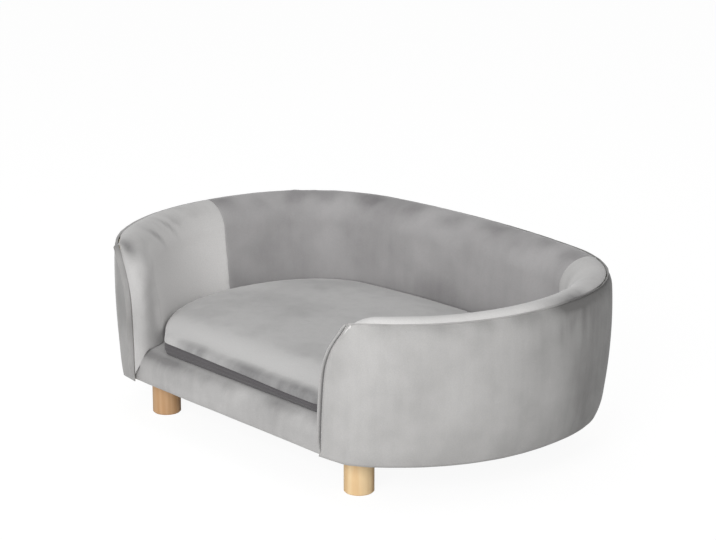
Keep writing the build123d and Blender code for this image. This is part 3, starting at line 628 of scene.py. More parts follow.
@dataclass
class WallPlan:
    """The oval outline of the wall and its thickness at the seat."""

    front_half_width: float = 0.233
    start_heading: float = 36.0
    radii: tuple = (0.262, 0.316, 0.186)
    end_headings: tuple = (84.0, 106.0, 171.0)
    arm_depth: float = 0.057
    back_depth: float = 0.048
    nose_depth: float = 0.041
    nose_turn: float = 12.4
    nose_length: float = 0.075
    nose_swell: float = 0.0135
    nose_swell_power: float = 0.7
    front_y: float = -0.22638
    arcs: list = field(default_factory=list)

    def __post_init__(self) -> None:
        """Chains the arcs; the last radius closes the outline at the middle of the back."""
        x, y, heading = self.front_half_width, self.front_y, self.start_heading
        for radius, end in zip((*self.radii, None), (*self.end_headings, 180.0)):
            turn = radians(heading)
            reach = radius or x / sin(turn)
            arc = PlanArc(x - reach * sin(turn), y + reach * cos(turn), reach, heading, end)
            self.arcs.append(arc)
            x, y = arc.point(end, 0.0)
            heading = end
        self.half = sum(arc.length for arc in self.arcs)
        self.length = 2 * self.half

    def heading(self, place: float) -> tuple:
        """Finds a place on the right half.

        Args:
            place: Length along the outline from the front corner.

        Returns:
            The arc there and the heading.
        """
        for arc in self.arcs[:-1]:
            if place <= arc.length:
                return arc, arc.start + degrees(place / arc.radius)
            place -= arc.length
        arc = self.arcs[-1]
        return arc, arc.start + degrees(place / arc.radius)

    def depth(self, heading: float) -> float:
        """Returns the wall's depth at the seat for a heading."""
        share = (heading - self.end_headings[1]) / (self.end_headings[2] - self.end_headings[1])
        return mix(self.arm_depth, self.back_depth, smooth(share))

    def point(self, place: float, inset: float = 0.0) -> tuple:
        """Returns the outline's point at a place on the right half, moved inward."""
        arc, heading = self.heading(place)
        return arc.point(heading, inset)

    def foot(self, place: float) -> tuple:
        """The wall's inner foot that belongs to a place, fanned out round the arm's front end.

        Args:
            place: Length along the right half of the outline.

        Returns:
            The foot's (x, y).
        """
        nose_x = self.front_half_width - self.nose_depth * cos(radians(self.nose_turn))
        nose_y = self.front_y - self.nose_depth * sin(radians(self.nose_turn))
        corner_x, corner_y = self.point(0.0, self.arm_depth)
        run = hypot(corner_x - nose_x, corner_y - nose_y)
        rate = (self.radii[0] - self.arm_depth) / self.radii[0]
        if place >= self.nose_length:
            return self.point(place, self.depth(self.heading(place)[1]))
        along = place * (run + rate * self.nose_length) / self.nose_length
        if along >= run:
            return self.point((along - run) / rate, self.arm_depth)
        share = along / run
        swell = self.nose_swell * sin(pi * share**self.nose_swell_power)
        return mix(nose_x, corner_x, share) - swell, mix(nose_y, corner_y, share)

    def section(self, place: float) -> tuple:
        """The upright section plane at a place counted from the right front corner round to the left one.

        Args:
            place: Length along the outline.

        Returns:
            The outer point, the inward direction, the depth of the foot and the own place on its half.
        """
        side = Side.LEFT.value if place > self.half else Side.RIGHT.value
        own = max(self.length - place if place > self.half else place, 0.0)
        x, y = self.point(own)
        foot_x, foot_y = self.foot(own)
        depth = hypot(foot_x - x, foot_y - y)
        return (side * x, y), (side * (foot_x - x) / depth, (foot_y - y) / depth), depth, own


# The wall's upholstery


@dataclass
class WallUpholstery:
    """The velvet on the tub wall: an outer wrap and three inner panels."""

    plan: WallPlan
    rim_z: float = 0.240
    ridge_z: float = 0.2350
    flare: float = 0.0036
    tuck_depth: float = 0.005
    waist_height: float = 0.033
    bulge: float = 0.0103
    nose_bulge: float = 0.009
    full_drop: float = 0.018
    crest_depth: float = 0.011
    roll_depth: float = 0.0465
    roll_drop: float = 0.045
    nose_crest_depth: float = 0.009
    nose_crest_drop: float = 0.021
    nose_roll_inset: float = 0.005
    nose_roll_drop: float = 0.082
    nose_crest_length: float = 0.040
    nose_roll_length: float = 0.060
    nose_foot_drop: float = 0.034
    nose_foot_length: float = 0.012
    nose_puff: float = 0.0028
    nose_dip: float = 0.0014
    left_seam: float = 0.262
    right_seam: float = 0.497
    lip_depth: float = 0.0025
    end_lip: float = 0.0007
    end_overlap: float = 0.0017
    end_setback: float = 0.0012
    step: float = 0.006
    nose_steps: int = 26
    corner_run: float = 0.026
    corner_steps: int = 34
    wrap_share: float = 0.994
    fine_fold: float = 0.0008
    seam_fold: float = 0.0009
    slow_fold: float = 0.0010
    nose_fold: float = 0.0011
    bruise: tuple = (0.300, 0.035)
    drips: tuple = (0.303, 0.026)
    fold_place: tuple = (0.12, 0.035)
    # Where along the outline the painted shade on the right arm's outer side starts and ends
    right_painted_shade: tuple = (0.25, 0.80)

    def inner_curve(self, own: float, depth: float, shares: np.ndarray) -> np.ndarray:
        """The inner section at shares of its length, from the ridge to the foot.

        Args:
            own: Place on its own half of the outline.
            depth: Depth of the wall's foot there.
            shares: Shares of the length.

        Returns:
            The (depth, height) points, shape (count, 2).
        """
        edge, nose = eased(own, self.nose_crest_length), eased(own, self.nose_roll_length)
        roll_depth = mix(self.roll_depth, depth - self.nose_roll_inset, nose)
        points = [
            (-self.flare, self.ridge_z + 0.0005),
            (mix(self.crest_depth, self.nose_crest_depth, edge), self.rim_z - self.nose_crest_drop * edge),
            (roll_depth, self.rim_z - mix(self.roll_drop, self.nose_roll_drop, nose)),
            (depth, SEAT_Z - self.nose_foot_drop * eased(own, self.nose_foot_length)),
        ]
        arcs = [(mix(0.08, 0.05, edge), 8), (mix(0.207, 0.08, nose), 24), (0.01, 16)]
        return resample(softened(arcs_through(points, arcs), 3), shares)

    def outer_curve(self, own: float, shares: np.ndarray) -> np.ndarray:
        """The outer section from the hem over its fullest height to the ridge.

        Args:
            own: Place on its own half of the outline.
            shares: Shares of the length from the hem to the ridge.

        Returns:
            The (depth, height) points, shape (count, 2).
        """
        edge = eased(own, self.nose_crest_length)
        bulge = mix(self.bulge, self.nose_bulge, edge)
        points = [
            (self.tuck_depth, HEM_Z),
            (-bulge * 0.4, HEM_Z + self.waist_height),
            (-bulge, self.rim_z - self.full_drop - self.nose_crest_drop * edge),
            (-self.flare, self.ridge_z - 0.0012),
        ]
        return resample(softened(arcs_through(points, [(0.05, 10), (0.027, 24), (0.1, 8)]), 3), shares)

    def inner_panel(self, panel: Panel, start: float, end: float) -> Piece:
        """One inner panel of the wall.

        Args:
            panel: Which panel.
            start: Place where the panel starts, from the right front corner.
            end: Place where it ends.

        Returns:
            The new piece.
        """
        at_right, at_left = start == 0.0, end >= self.plan.length - 1e-6
        places = self.places(start if at_right else start + LIP, end if at_left else end - LIP)
        rows = np.linspace(0.0, 1.0, 56)
        grid = np.zeros((len(places), len(rows), 3))
        nap_and_painted_light = np.zeros(grid.shape[:2])
        for i, place in enumerate(places):
            (x, y), (mx, my), depth, own = self.plan.section(place)
            seam = min(FAR if at_right else abs(place - start), FAR if at_left else abs(end - place))
            ahead = self.end_overlap * (1 - smooth(own / 0.003))
            for j, (d, z) in enumerate(self.inner_curve(own, depth, mix(0.006, 1.0, rows))):
                share = j / (len(rows) - 1)
                pull = self.pucker(place, seam, own, share, z)
                puff = smooth(own / 0.008) * bell(own, 0.018, 0.020) * smooth((z - 0.11) / 0.06)
                dip = self.nose_dip * bell(own, 0.0, 0.006) * bell(j, 0, 2)
                d, z = d + pull[0] + self.nose_puff * puff - dip, z + pull[1] - dip
                grid[i, j] = (x + mx * d, y + my * d - ahead, z)
                nap_and_painted_light[i, j] = self.inner_nap_and_painted_light(panel, place, own, share, z)
        borders = ((Edge.FIRST_COLUMN, False), (Edge.FIRST_ROW, at_right), (Edge.LAST_ROW, at_left))
        for border, at_arm_end in borders:
            grid = add_lip(grid, border, self.end_lip if at_arm_end else LIP, self.lip_depth, 4)
        return sheet_object(panel.value, grid, nap_and_painted_light)

    def places(self, start: float, end: float) -> list:
        """Places along the outline, closer together round the arm's front ends.

        Args:
            start: The first place.
            end: The last place.

        Returns:
            The places in order.
        """
        nose, count = self.plan.nose_length, self.nose_steps
        close = [max(0.0004, nose * (k / count) ** 1.5) for k in range(count)]
        first = nose if start == 0.0 else start
        last = self.plan.length - nose if end >= self.plan.length - 1e-6 else end
        steps = ceil((last - first) / self.step)
        middle = [mix(first, last, k / steps) for k in range(steps + 1)]
        before = close if first > start else []
        return before + middle + ([end - gap for gap in close[::-1]] if last < end else [])

    def pucker(self, place: float, seam: float, own: float, share: float, z: float) -> tuple:
        """How far the cloth is drawn in or out near its seams.

        Args:
            place: Place along the outline.
            seam: Distance from the nearest seam.
            own: Place on its own half.
            share: Share of the way from the ridge to the foot.
            z: Height.

        Returns:
            The moves in depth and in height.
        """
        ridge = bell(share, 0.0, 0.10) * smooth(share / 0.03)
        wave, slow = ripple(place * 55, z * 26, 3.1), ripple(place * 9, z * 9, 7.7)
        fine = ripple(place * 130, z * 10, 1.3)
        across = bell(seam, 0.0, 0.011) * ripple(place * 20, z * 90, 5.0)
        depth = self.slow_fold * slow + self.seam_fold * across + self.fine_fold * bell(share, 1, 0.14) * fine
        depth += self.nose_fold * bell(own, 0.0, 0.05) * ripple(own * 60, z * 60, 2.0) * smooth(own / 0.01)
        return depth, self.fine_fold * ridge * fine + 0.0005 * ridge * wave

    def inner_nap_and_painted_light(self, panel: Panel, place: float, own: float, share: float, z: float) -> float:
        """How dark the pile lies at a point of an inner panel, with painted shade and painted highlights added.

        Args:
            panel: Which panel.
            place: Place along the outline.
            own: Place on its own half.
            share: Share of the way from the ridge to the foot.
            z: Height.

        Returns:
            The pile and painted light number; below zero it is a painted highlight.
        """
        patch = smooth((ripple(place * 7, z * 16, 11.0) + 0.1) * 1.6)
        ragged = smooth(0.5 + 1.2 * ripple(place * 24, z * 22, 21.0))
        if panel is Panel.BACK:
            # Back panel: a ragged dark band below the crest, darker towards the foot, and a painted highlight along
            # the crest
            top, low, rim = bell(share, 0.20, 0.12), bell(share, 0.95, 0.12), bell(share, 0.03, 0.05)
            return 0.22 * patch + 0.5 * top * ragged + 0.15 * low - 0.25 * rim
        if panel is Panel.RIGHT_ARM:
            # Right arm: a painted highlight along the lit top of the arm and down round its front end, fading out
            # towards the back
            strip = bell(share, 0.06, 0.09) + bell(own, 0.0, 0.007) * smooth((0.6 - share) / 0.2)
            strip = min(strip, 1.0) * smooth((0.27 - own) / 0.06)
            bruise = bell(own, *self.bruise) * bell(share, 0.04, 0.06)
            return 0.2 * patch + 0.35 * smooth((share - 0.2) / 0.2) * ragged + 0.7 * bruise - 0.6 * strip
        folds = bell(own, *self.fold_place) * bell(share, 0.30, 0.10)
        slanted = smooth(0.35 + 1.3 * ripple((own + 0.5 * z) * 70, z * 12, 61.0))
        corner = bell(own, 0.014, 0.012) * bell(share, 0.16, 0.10)
        # Left arm: painted highlight on the lower inner face, which faces the light
        painted_highlight = mix(0.05, 0.75, smooth((share - 0.25) / 0.25)) * smooth((own - 0.012) / 0.04)
        return 0.1 * patch + 1.2 * folds * slanted + 0.8 * corner * ragged - painted_highlight

    def outer_wrap(self) -> Piece:
        """The outer wrap, which runs on round the arms' front ends up to their seams.

        Returns:
            The new piece.
        """
        shares, length = np.linspace(0.0, 1.0, 52), self.plan.length
        right, left = (self.front_end(side, shares) for side in (Side.RIGHT, Side.LEFT))
        count = ceil((length - 2 * self.corner_run) / self.step)
        marks = [mix(self.corner_run, length - self.corner_run, k / count) for k in range(1, count)]
        ends = [self.corner_run * k / self.corner_steps for k in range(self.corner_steps + 1)]
        grid = np.array(right + [self.outer_column(place, shares) for place in marks] + left[::-1])
        places = ends + marks + [length - end for end in ends[::-1]]
        nap_and_painted_light = [[self.outer_nap_and_painted_light(place, z) for z in column[:, 2]] for place, column in zip(places, grid)]
        grid = add_lip(grid[::-1], Edge.LAST_COLUMN, LIP * 0.7, self.lip_depth, 2)
        for border in (Edge.FIRST_ROW, Edge.LAST_ROW):
            grid = add_lip(grid, border, self.end_lip, self.lip_depth * 3, 6)
        return sheet_object("outer_wrap", grid, np.array(nap_and_painted_light)[::-1])

    def outer_column(self, place: float, shares: np.ndarray) -> list:
        """The wrap's points at a place, from the hem to the ridge.

        Args:
            place: Place along the outline.
            shares: Shares of the column's length.

        Returns:
            The (x, y, z) points.
        """
        (x, y), (mx, my), _, own = self.plan.section(place)
        column = []
        for d, z in self.outer_curve(own, shares * self.wrap_share):
            d -= self.outer_push(place, z)
            column.append((x + mx * d, y + my * d, z))
        return column

    def outer_push(self, place: float, z: float) -> float:
        """How far the outer cloth stands out or in.

        Args:
            place: Place along the outline.
            z: Height.

        Returns:
            The move outwards.
        """
        ridge, low = bell(z, self.ridge_z, 0.012), bell(z, HEM_Z, 0.03)
        slow, fine = ripple(place * 6, z * 7, 4.4), ripple(place * 110, z * 14, 9.2)
        return 0.0009 * slow + 0.0006 * ridge * fine + 0.0006 * low * ripple(place * 40, z * 30, 6.0)

    def seam_line(self, shares: np.ndarray) -> np.ndarray:
        """The seam round an arm's front end, from the hem over its arch to the ridge.

        Args:
            shares: Shares of its length.

        Returns:
            The (depth, height) points on the plane of the arm's end.
        """
        arch = self.inner_curve(0.0, self.plan.nose_depth, np.linspace(0.0, 1.0, 90))[::-1]
        line = np.concatenate([[(arch[0, 0] + 0.0025, HEM_Z + 0.0040)], arch])
        line[:, 0] += 0.0010 * np.clip((line[:, 0] + self.flare) / 0.01, 0.0, 1.0)
        line[-1] += (0.0024, -0.0016)
        return resample(line, shares)

    def front_end(self, side: Side, shares: np.ndarray) -> list:
        """Columns of the wrap from an arm's seam round its outer front corner.

        Args:
            side: Which arm.
            shares: Shares of each column's length.

        Returns:
            The columns.
        """
        (corner_x, corner_y), (mx, my), _, _ = self.plan.section(0.0)
        seam, last = self.seam_line(shares), self.outer_curve(self.corner_run, shares * self.wrap_share)
        ways = [(k / self.corner_steps) ** 1.25 for k in range(self.corner_steps + 1)]
        grid = np.zeros((len(ways), len(shares), 3))
        for j, (seam_depth, seam_z) in enumerate(seam):
            edge_depth = self.depth_at(0.0, seam_z)
            for k, way in enumerate(ways):
                z = mix(seam_z, last[j, 1], way)
                run = mix(edge_depth - seam_depth, self.corner_run, way)
                if run < 0:
                    d = self.depth_at(0.0, z) - run
                    x, y = corner_x + mx * d, corner_y + my * d - self.end_setback
                else:
                    (px, py), (nx, ny), _, own = self.plan.section(run)
                    d = self.depth_at(own, z) - self.outer_push(run, z) * smooth(run / 0.01)
                    x, y = px + nx * d, py + ny * d - self.end_setback * (1 - smooth(run / 0.01))
                grid[k, j] = (x, y, z)
        grid = softened(grid, 10)
        for k, way in enumerate(ways[:-1]):
            for j in range(len(shares)):
                x, _, z = grid[k, j]
                wave = ripple(side.value * x * 30, z * 16, 5.5) * sin(pi * way)
                ridge = bell(k, 2.5, 1.2) - 0.8 * bell(k, 5.5, 1.4)
                grid[k, j, 1] -= 0.0007 * wave + 0.0003 * ridge * smooth((z - 0.09) / 0.03)
        grid[:, :, 0] *= side.value
        return [list(map(tuple, column)) for column in grid]

    def depth_at(self, own: float, z: float) -> float:
        """Returns the outer face's depth at a place and a height."""
        curve = self.outer_curve(own, np.linspace(0.0, 1.0, 40))
        return float(np.interp(z, curve[:, 1], curve[:, 0]))

    def outer_nap_and_painted_light(self, place: float, z: float) -> float:
        """How dark the pile lies at a point of the outer wrap, with painted shade added.

        Args:
            place: Place along the outline.
            z: Height.

        Returns:
            The pile and painted shade number.
        """
        patch = smooth((ripple(place * 6, z * 10, 31.0) - 0.05) * 1.5)
        # Painted shadow in a strip just below the ridge seam
        under = bell(z, self.ridge_z - 0.010, 0.010) * smooth(0.6 + ripple(place * 30, z * 25, 71.0))
        bruise = bell(place, *self.bruise) * bell(z, 0.226, 0.009)
        drips = bell(place, *self.drips) * bell(z, 0.196, 0.020)
        spots = smooth(0.5 + 1.4 * ripple(place * 110, z * 14, 8.0))
        # Painted shade over the right arm's outer side, which faces away from the light
        start, end = self.right_painted_shade
        right = smooth((place - start) / 0.10) * smooth((end - place) / 0.2)
        # Darker over the last few centimetres before the left arm's front end
        left = smooth((place - self.plan.length + 0.06) / 0.05)
        return 0.08 * patch + 0.30 * under + 0.7 * bruise + 0.8 * drips * spots + 0.60 * right + 0.25 * left

    def build(self, finishes: dict) -> None:
        """Builds the wrap and the panels, dresses them and gives them to the sofa.

        Args:
            finishes: Slot names to materials.
        """
        end = self.plan.length
        right, left = self.right_seam, end - self.left_seam
        made = (
            (self.outer_wrap(), "outer_cover", "velvet_outer"),
            (self.inner_panel(Panel.RIGHT_ARM, 0.0, right), "right_arm_cover", "velvet_arms"),
            (self.inner_panel(Panel.BACK, right, left), "back_cover", "velvet_back"),
            (self.inner_panel(Panel.LEFT_ARM, left, end), "left_arm_cover", "velvet_arms"),
        )
        for piece, node, slot in made:
            dress(piece, finishes[slot], slot)
            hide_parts(node)
            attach(piece, "sofa")
            LOG.info("wall cloth: %s", piece.name)


# Front rail


@dataclass
class FrontRail:
    """The padded rail across the open front, and the seat's cloth behind it."""

    plan: WallPlan
    half_width: float = 0.2030
    edge_setback: float = -0.003
    bulge: float = 0.005
    bulge_rise: float = 0.018
    top_setback: float = 0.013
    reach: float = 0.062
    seat_inset: float = 0.034

    def profile(self, shares: np.ndarray) -> np.ndarray:
        """The rail's section from the hem over the front and back along the top.

        Args:
            shares: Shares of its length.

        Returns:
            The (setback, height) points, shape (count, 2).
        """
        points = [
            (self.edge_setback, HEM_Z),
            (-self.bulge, HEM_Z + self.bulge_rise),
            (self.top_setback, SEAT_Z),
            (self.reach, SEAT_Z),
        ]
        tuck = [(self.edge_setback + 0.010, HEM_Z + 0.0002)]
        line = np.concatenate([tuck, arcs_through(points, [(0.1, 8), (0.2, 16), (0.0, 12)])])
        return resample(softened(line, 2), shares)

    def build(self, finishes: dict) -> None:
        """Builds the rail's cloth and the seat's own cloth behind it.

        Args:
            finishes: Slot names to materials.
        """
        across, section = np.linspace(-1.0, 1.0, 96), self.profile(np.linspace(0.0, 1.0, 52))
        grid = np.zeros((len(across), len(section), 3))
        nap_and_painted_light = np.zeros(grid.shape[:2])
        width = self.half_width - LIP
        for i, share in enumerate(across):
            x = share * width
            end = width - abs(x)
            drawn = bell(end, 0.0, 0.02)
            for j, (setback, z) in enumerate(section):
                front = 1 - smooth((setback - 0.004) / 0.02)
                wave, crease = ripple(x * 14, z * 14, 2.2), ripple(x * 30 + z * 40, z * 60, 12.0)
                push = front * (0.0009 * wave + 0.0012 * drawn * crease - 0.0008 * drawn)
                tuck = smooth((0.024 - end) / 0.024) * smooth((setback - 0.014) / 0.02)
                grid[i, j] = (x, self.plan.front_y + setback - push, z - 0.0006 * tuck)
                nap_and_painted_light[i, j] = self.nap_and_painted_light(x, setback, z)
        for border in (Edge.FIRST_ROW, Edge.LAST_ROW):
            grid = add_lip(grid, border, LIP, 0.002)
        piece = sheet_object("front_rail_cloth", grid, nap_and_painted_light)
        dress(piece, finishes["velvet_arms"], "velvet_arms")
        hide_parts("front_rail_cover")
        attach(piece, "sofa")
        LOG.info("front rail: %s", piece.name)
        self.seat_cloth(finishes)

    def nap_and_painted_light(self, x: float, setback: float, z: float) -> float:
        """How dark the pile lies at a point of the rail, with painted shade added.

        Args:
            x: Place across the rail.
            setback: Distance behind the front.
            z: Height.

        Returns:
            The pile and painted shade number.
        """
        patch = smooth((ripple(x * 9, setback * 30 + z * 20, 41.0)) * 1.5)
        # Painted shade in the crease along the rail's upper front, where it meets the cushion's front edge,
        # strongest towards the left
        band = bell(setback, 0.004, 0.007) * smooth(0.65 + ripple(x * 14, z * 20, 17.0))
        return 0.2 + 0.12 * patch + band * mix(0.35, 0.85, bell(x, -0.15, 0.05))

    def seat_cloth(self, finishes: dict) -> None:
        """Lays the seat's cloth inside the wall, under the cushion.

        Args:
            finishes: Slot names to materials.
        """
        outline = half_outline(self.plan, self.seat_inset, 60, self.plan.front_y + self.reach, 0.7)
        across = np.linspace(-1.0, 1.0, 41)
        grid = np.zeros((len(outline), len(across), 3))
        for i, (x, y) in enumerate(outline):
            for j, share in enumerate(across):
                wave = 0.0002 * ripple(share * 6, y * 20, 3.3)
                grid[i, j] = (-share * x, y, SEAT_Z - 0.0003 + wave)
        piece = sheet_object("seat_cloth", grid, np.zeros(grid.shape[:2]))
        dress(piece, finishes["velvet_cushion"], "velvet_cushion")
        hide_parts("deck_cover")
        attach(piece, "sofa")
        width, length, area = flat_size(outline)
        LOG.info("seat cloth: %s", piece.name)


# Loose cushion


@dataclass
class SeatCushion:
    """The loose cushion: a crowned top panel, a dark side band and an underside over a foam core."""

    plan: WallPlan
    low_z: float = 0.0993
    band_height: float = 0.017
    crown: float = 0.016
    front_setback: float = 0.0095
    corner_radius: float = 0.016
    corners_x: tuple = (0.162, 0.151)
    corner_draw: float = 0.37
    side_gap: float = 0.0015
    band_bow: float = 0.0025
    band_ribs: int = 3
    crown_inset: float = 0.105
    crown_power: float = 2.5
    spine: float = 0.105
    edge_radius: float = 0.0022
    pressure: float = 2.2
    cap: float = 0.010
    start_rise: float = 0.55
    swell_share: float = 0.3
    swell_limits: tuple = (-0.004, 0.006)
    seam_rise: float = 0.0022
    seam_fall: float = 0.0030
    frames: int = 20
    count: int = 220
    rings: int = 26
    slot_half_width: float = 0.0070
    slot_half_length: float = 0.180
    underside_thickness: float = 0.0009

    @property
    def seam_z(self) -> float:
        """Height of the seam between the band and the top panel."""
        return self.low_z + self.band_height

    def outline(self, inset: float, count: int) -> np.ndarray:
        """The cushion's plan as evenly spaced points, from the middle of the front round to it again.

        Args:
            inset: Distance that the outline moves inward.
            count: How many points.

        Returns:
            The (x, y) pairs, anticlockwise seen from above.
        """
        plan = self.plan
        gap = self.side_gap + inset
        front = plan.front_y + self.front_setback + inset
        side_end = plan.arcs[0].point(plan.start_heading, plan.depth(plan.start_heading) + gap)
        places = [(arc, mix(arc.start, arc.end, k / 20)) for arc in plan.arcs for k in range(1, 21)]
        wall = [arc.point(heading, plan.depth(heading) + gap) for arc, heading in places]
        halves = []
        for corner_x in self.corners_x:
            corner_x -= inset * self.corner_draw
            turn = atan2(side_end[1] - front, side_end[0] - corner_x)
            tangent = self.corner_radius * tan(turn / 2)
            side_start = (corner_x + tangent * cos(turn), front + tangent * sin(turn))
            points = [(0.0, front), (corner_x - tangent, front), side_start, side_end]
            arcs = [(0.0, 16), (-0.5 * tan(turn / 4), 8), (0.0, 10)]
            halves.append(np.concatenate([arcs_through(points, arcs), wall]))
        right, left = halves
        loop = np.concatenate([right, (left * (-1.0, 1.0))[::-1]])
        return resample(loop, np.linspace(0.0, 1.0, count + 1))[:-1]

    def lean(self, x: float, y: float) -> float:
        """Returns how far the front seam runs above its even height, high at the left and low at the right."""
        front = smooth((self.plan.front_y + 0.075 - y) / 0.05)
        return front * (self.seam_rise * smooth(-x / 0.15) - self.seam_fall * smooth((x + 0.03) / 0.16))

    def start_shape(self) -> tuple:
        """A closed starting shape for the simulation: bottom, band and a low flat crown.

        Returns:
            The points and the faces.
        """
        edge = self.outline(self.band_bow / 2, self.count)
        middle_y = 0.5 * (edge[:, 1].min() + edge[:, 1].max()) - 0.012
        points = [(x, y, self.low_z) for x, y in self.outline(self.band_bow, self.count)]
        points += [(x, y, self.seam_z) for x, y in edge]
        for ring in range(1, self.rings):
            share = (ring / self.rings) ** 1.6
            rise = self.crown * self.start_rise * (1 - (1 - min(share * 2.2, 1.0)) ** 2)
            for x, y in edge:
                middle_x = max(-self.spine, min(self.spine, x * 0.62))
                points.append((mix(x, middle_x, share), mix(y, middle_y, share), self.seam_z + rise))
        bottom = tuple(range(self.count - 1, -1, -1))
        faces = ring_faces(self.rings + 1, self.count) + closing_faces(self.rings * self.count, self.count)
        return points, [bottom, *faces]

    def inflate(self, piece: Piece) -> np.ndarray:
        """Swells the top panel by cloth simulation, with the bottom and the seam held still.

        Args:
            piece: The closed starting shape.

        Returns:
            The points, shape (count, 3), none moved by more than the cap.
        """
        start = read_points(piece.data)
        group = piece.vertex_groups.new(name="held")
        group.add(list(range(2 * self.count)), 1.0, "REPLACE")
        cloth = piece.modifiers.new("cloth", "CLOTH")
        settings = cloth.settings
        settings.vertex_group_mass = "held"
        settings.use_pressure = True
        settings.uniform_pressure_force = self.pressure
        settings.effector_weights.gravity = 0.0
        settings.quality = 6
        settings.tension_stiffness = 18
        settings.compression_stiffness = 18
        settings.shear_stiffness = 8
        settings.bending_stiffness = 2.0
        settings.shrink_min = -0.012
        for frame_number in range(1, self.frames + 1):
            bpy.context.scene.frame_set(frame_number)
        shaped = piece.evaluated_get(bpy.context.evaluated_depsgraph_get())
        move = read_points(shaped.data) - start
        bpy.context.scene.frame_set(1)
        length = np.linalg.norm(move, axis=1, keepdims=True)
        return start + move * np.minimum(1.0, self.cap / np.maximum(length, 1e-9))

    def build(self, finishes: dict) -> None:
        """Builds the cushion's top, band and underside.

        Args:
            finishes: Slot names to materials.
        """
        points, faces = self.start_shape()
        piece = new_object("cushion_shape", mesh_from("cushion_shape", points, faces))
        shape = self.inflate(piece)
        bpy.data.objects.remove(piece)
        made = (
            (self.top_panel(shape), "cushion_top_cover", "velvet_cushion"),
            (self.side_band(), "cushion_boxing", "boxing_cloth"),
            (self.underside(), "cushion_bottom_cover", "lining_cloth"),
        )
        for piece, node, slot in made:
            dress(piece, finishes[slot], slot)
            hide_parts(node)
            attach(piece, "cushion")
            LOG.info("cushion: %s", piece.name)

    def top_panel(self, shape: np.ndarray) -> Piece:
        """Cuts the top panel from the swelled shape and turns its edge down into the seam.

        Args:
            shape: The swelled points.

        Returns:
            The new piece.
        """
        rings = shape[self.count :].reshape(-1, self.count, 3).copy()
        scale = self.crown / max(rings[:, :, 2].max() - self.seam_z, 1e-6)
        rim = rings[0, :, :2].copy()
        sides = np.roll(rim, -1, axis=0) - rim
        lengths = np.sum(sides * sides, axis=1)
        lowest, highest = self.swell_limits
        nap_and_painted_light = np.zeros(rings.shape[:2])
        for r, k in np.ndindex(*nap_and_painted_light.shape):
            x, y, z = rings[r, k]
            away = np.array((x, y)) - rim
            along = np.clip(np.sum(away * sides, axis=1) / lengths, 0.0, 1.0)
            edge = float(np.linalg.norm(away - sides * along[:, None], axis=1).min())
            share = min(edge / self.crown_inset, 1.0)
            even = self.crown * (1 - (1 - share) ** self.crown_power) ** (1 / self.crown_power)
            swell = (z - self.seam_z) * scale - even
            fine = ripple(x * 85, y * 85, 1.0) * bell(edge, 0.0, 0.012) * smooth(edge / 0.004)
            slow = ripple(x * 9, y * 9, 14.0) * smooth(edge / 0.03)
            lift = max(self.lean(x, y), 0.0) * (1 - smooth(edge / 0.03))
            height = even + self.swell_share * min(max(swell, lowest), highest)
            rings[r, k, 2] = self.seam_z + height + 0.0002 * fine + 0.0009 * slow + lift
            nap_and_painted_light[r, k] = self.nap_and_painted_light(x, y)
        rolled = np.concatenate([self.rolled_edge(rings), rings])
        rows = len(rolled)
        nap_and_painted_light = np.concatenate([np.repeat(nap_and_painted_light[:1], rows - len(rings), axis=0), nap_and_painted_light])
        faces = ring_faces(rows, self.count) + closing_faces((rows - 1) * self.count, self.count)
        piece = cloth_object("cushion_top", rolled.reshape(-1, 3), faces, CLOTH, nap_and_painted_light)
        smoother = piece.modifiers.new("smoother", "SUBSURF")
        smoother.levels = smoother.render_levels = 1
        return piece

    def rolled_edge(self, rings: np.ndarray) -> np.ndarray:
        """Rings that turn the top panel's border down and in at its seam.

        Args:
            rings: The panel's rings, from the rim inwards.

        Returns:
            The extra rings, the lowest first.
        """
        rim = rings[0]
        out = unit((rim - rings[3]) * (1.0, 1.0, 0.0))
        drop = np.array([max(-self.lean(x, y), 0.0) for x, y, _ in rim])[:, None]
        down = np.array((0.0, 0.0, -1.0))
        rows = []
        for turn in (radians(150), radians(110), radians(75), radians(40)):
            fall = self.edge_radius * (1 - cos(turn)) * 0.8 + drop * smooth((turn - 0.4) / 1.2)
            rows.append(rim + out * (self.edge_radius * sin(turn) - 0.0006) + down * fall)
        return np.array(rows)

    def nap_and_painted_light(self, x: float, y: float) -> float:
        """How dark the pile lies at a point of the top panel, with painted shade and a painted highlight added.

        Args:
            x: Place across the sofa.
            y: Place from front to back.

        Returns:
            The pile and painted light number; below zero it is a painted highlight.
        """
        patch = smooth((ripple(x * 8, y * 8, 51.0)) * 1.5)
        pile_and_painted_light = smooth(0.70 + 0.7 * ripple(x * 11, y * 9, 23.0) + 0.5 * ripple(x * 70, y * 20, 3.0))
        # Darker band along the rolled front edge: partly the pile, partly painted shade
        front = bell(y, -0.2135, 0.0095) * mix(0.45, 1.0, pile_and_painted_light) * smooth((0.14 + x) / 0.06)
        # Painted highlight on the slope of the crown just behind the front edge
        return 0.10 + 0.12 * patch + 0.62 * front - 0.5 * bell(y, -0.185, 0.035) * (1 - front)

    def side_band(self) -> Piece:
        """The dark band round the cushion, with its fine ribs.

        Returns:
            The new piece.
        """
        count, heights = 360, np.linspace(0.0, 1.0, 26)
        low, high = self.low_z + 0.0006, self.seam_z - 0.0006
        grid = np.zeros((count, len(heights), 3))
        for j, share in enumerate(heights):
            bow = self.band_bow * (1 - sin(pi * share)) * mix(1.0, 0.5, share)
            rib = 0.0005 * cos(2 * pi * share * self.band_ribs)
            for i, (x, y) in enumerate(self.outline(bow - rib + 0.0003, count)):
                grid[i, j] = (x, y, mix(low, high + self.lean(x, y), share))
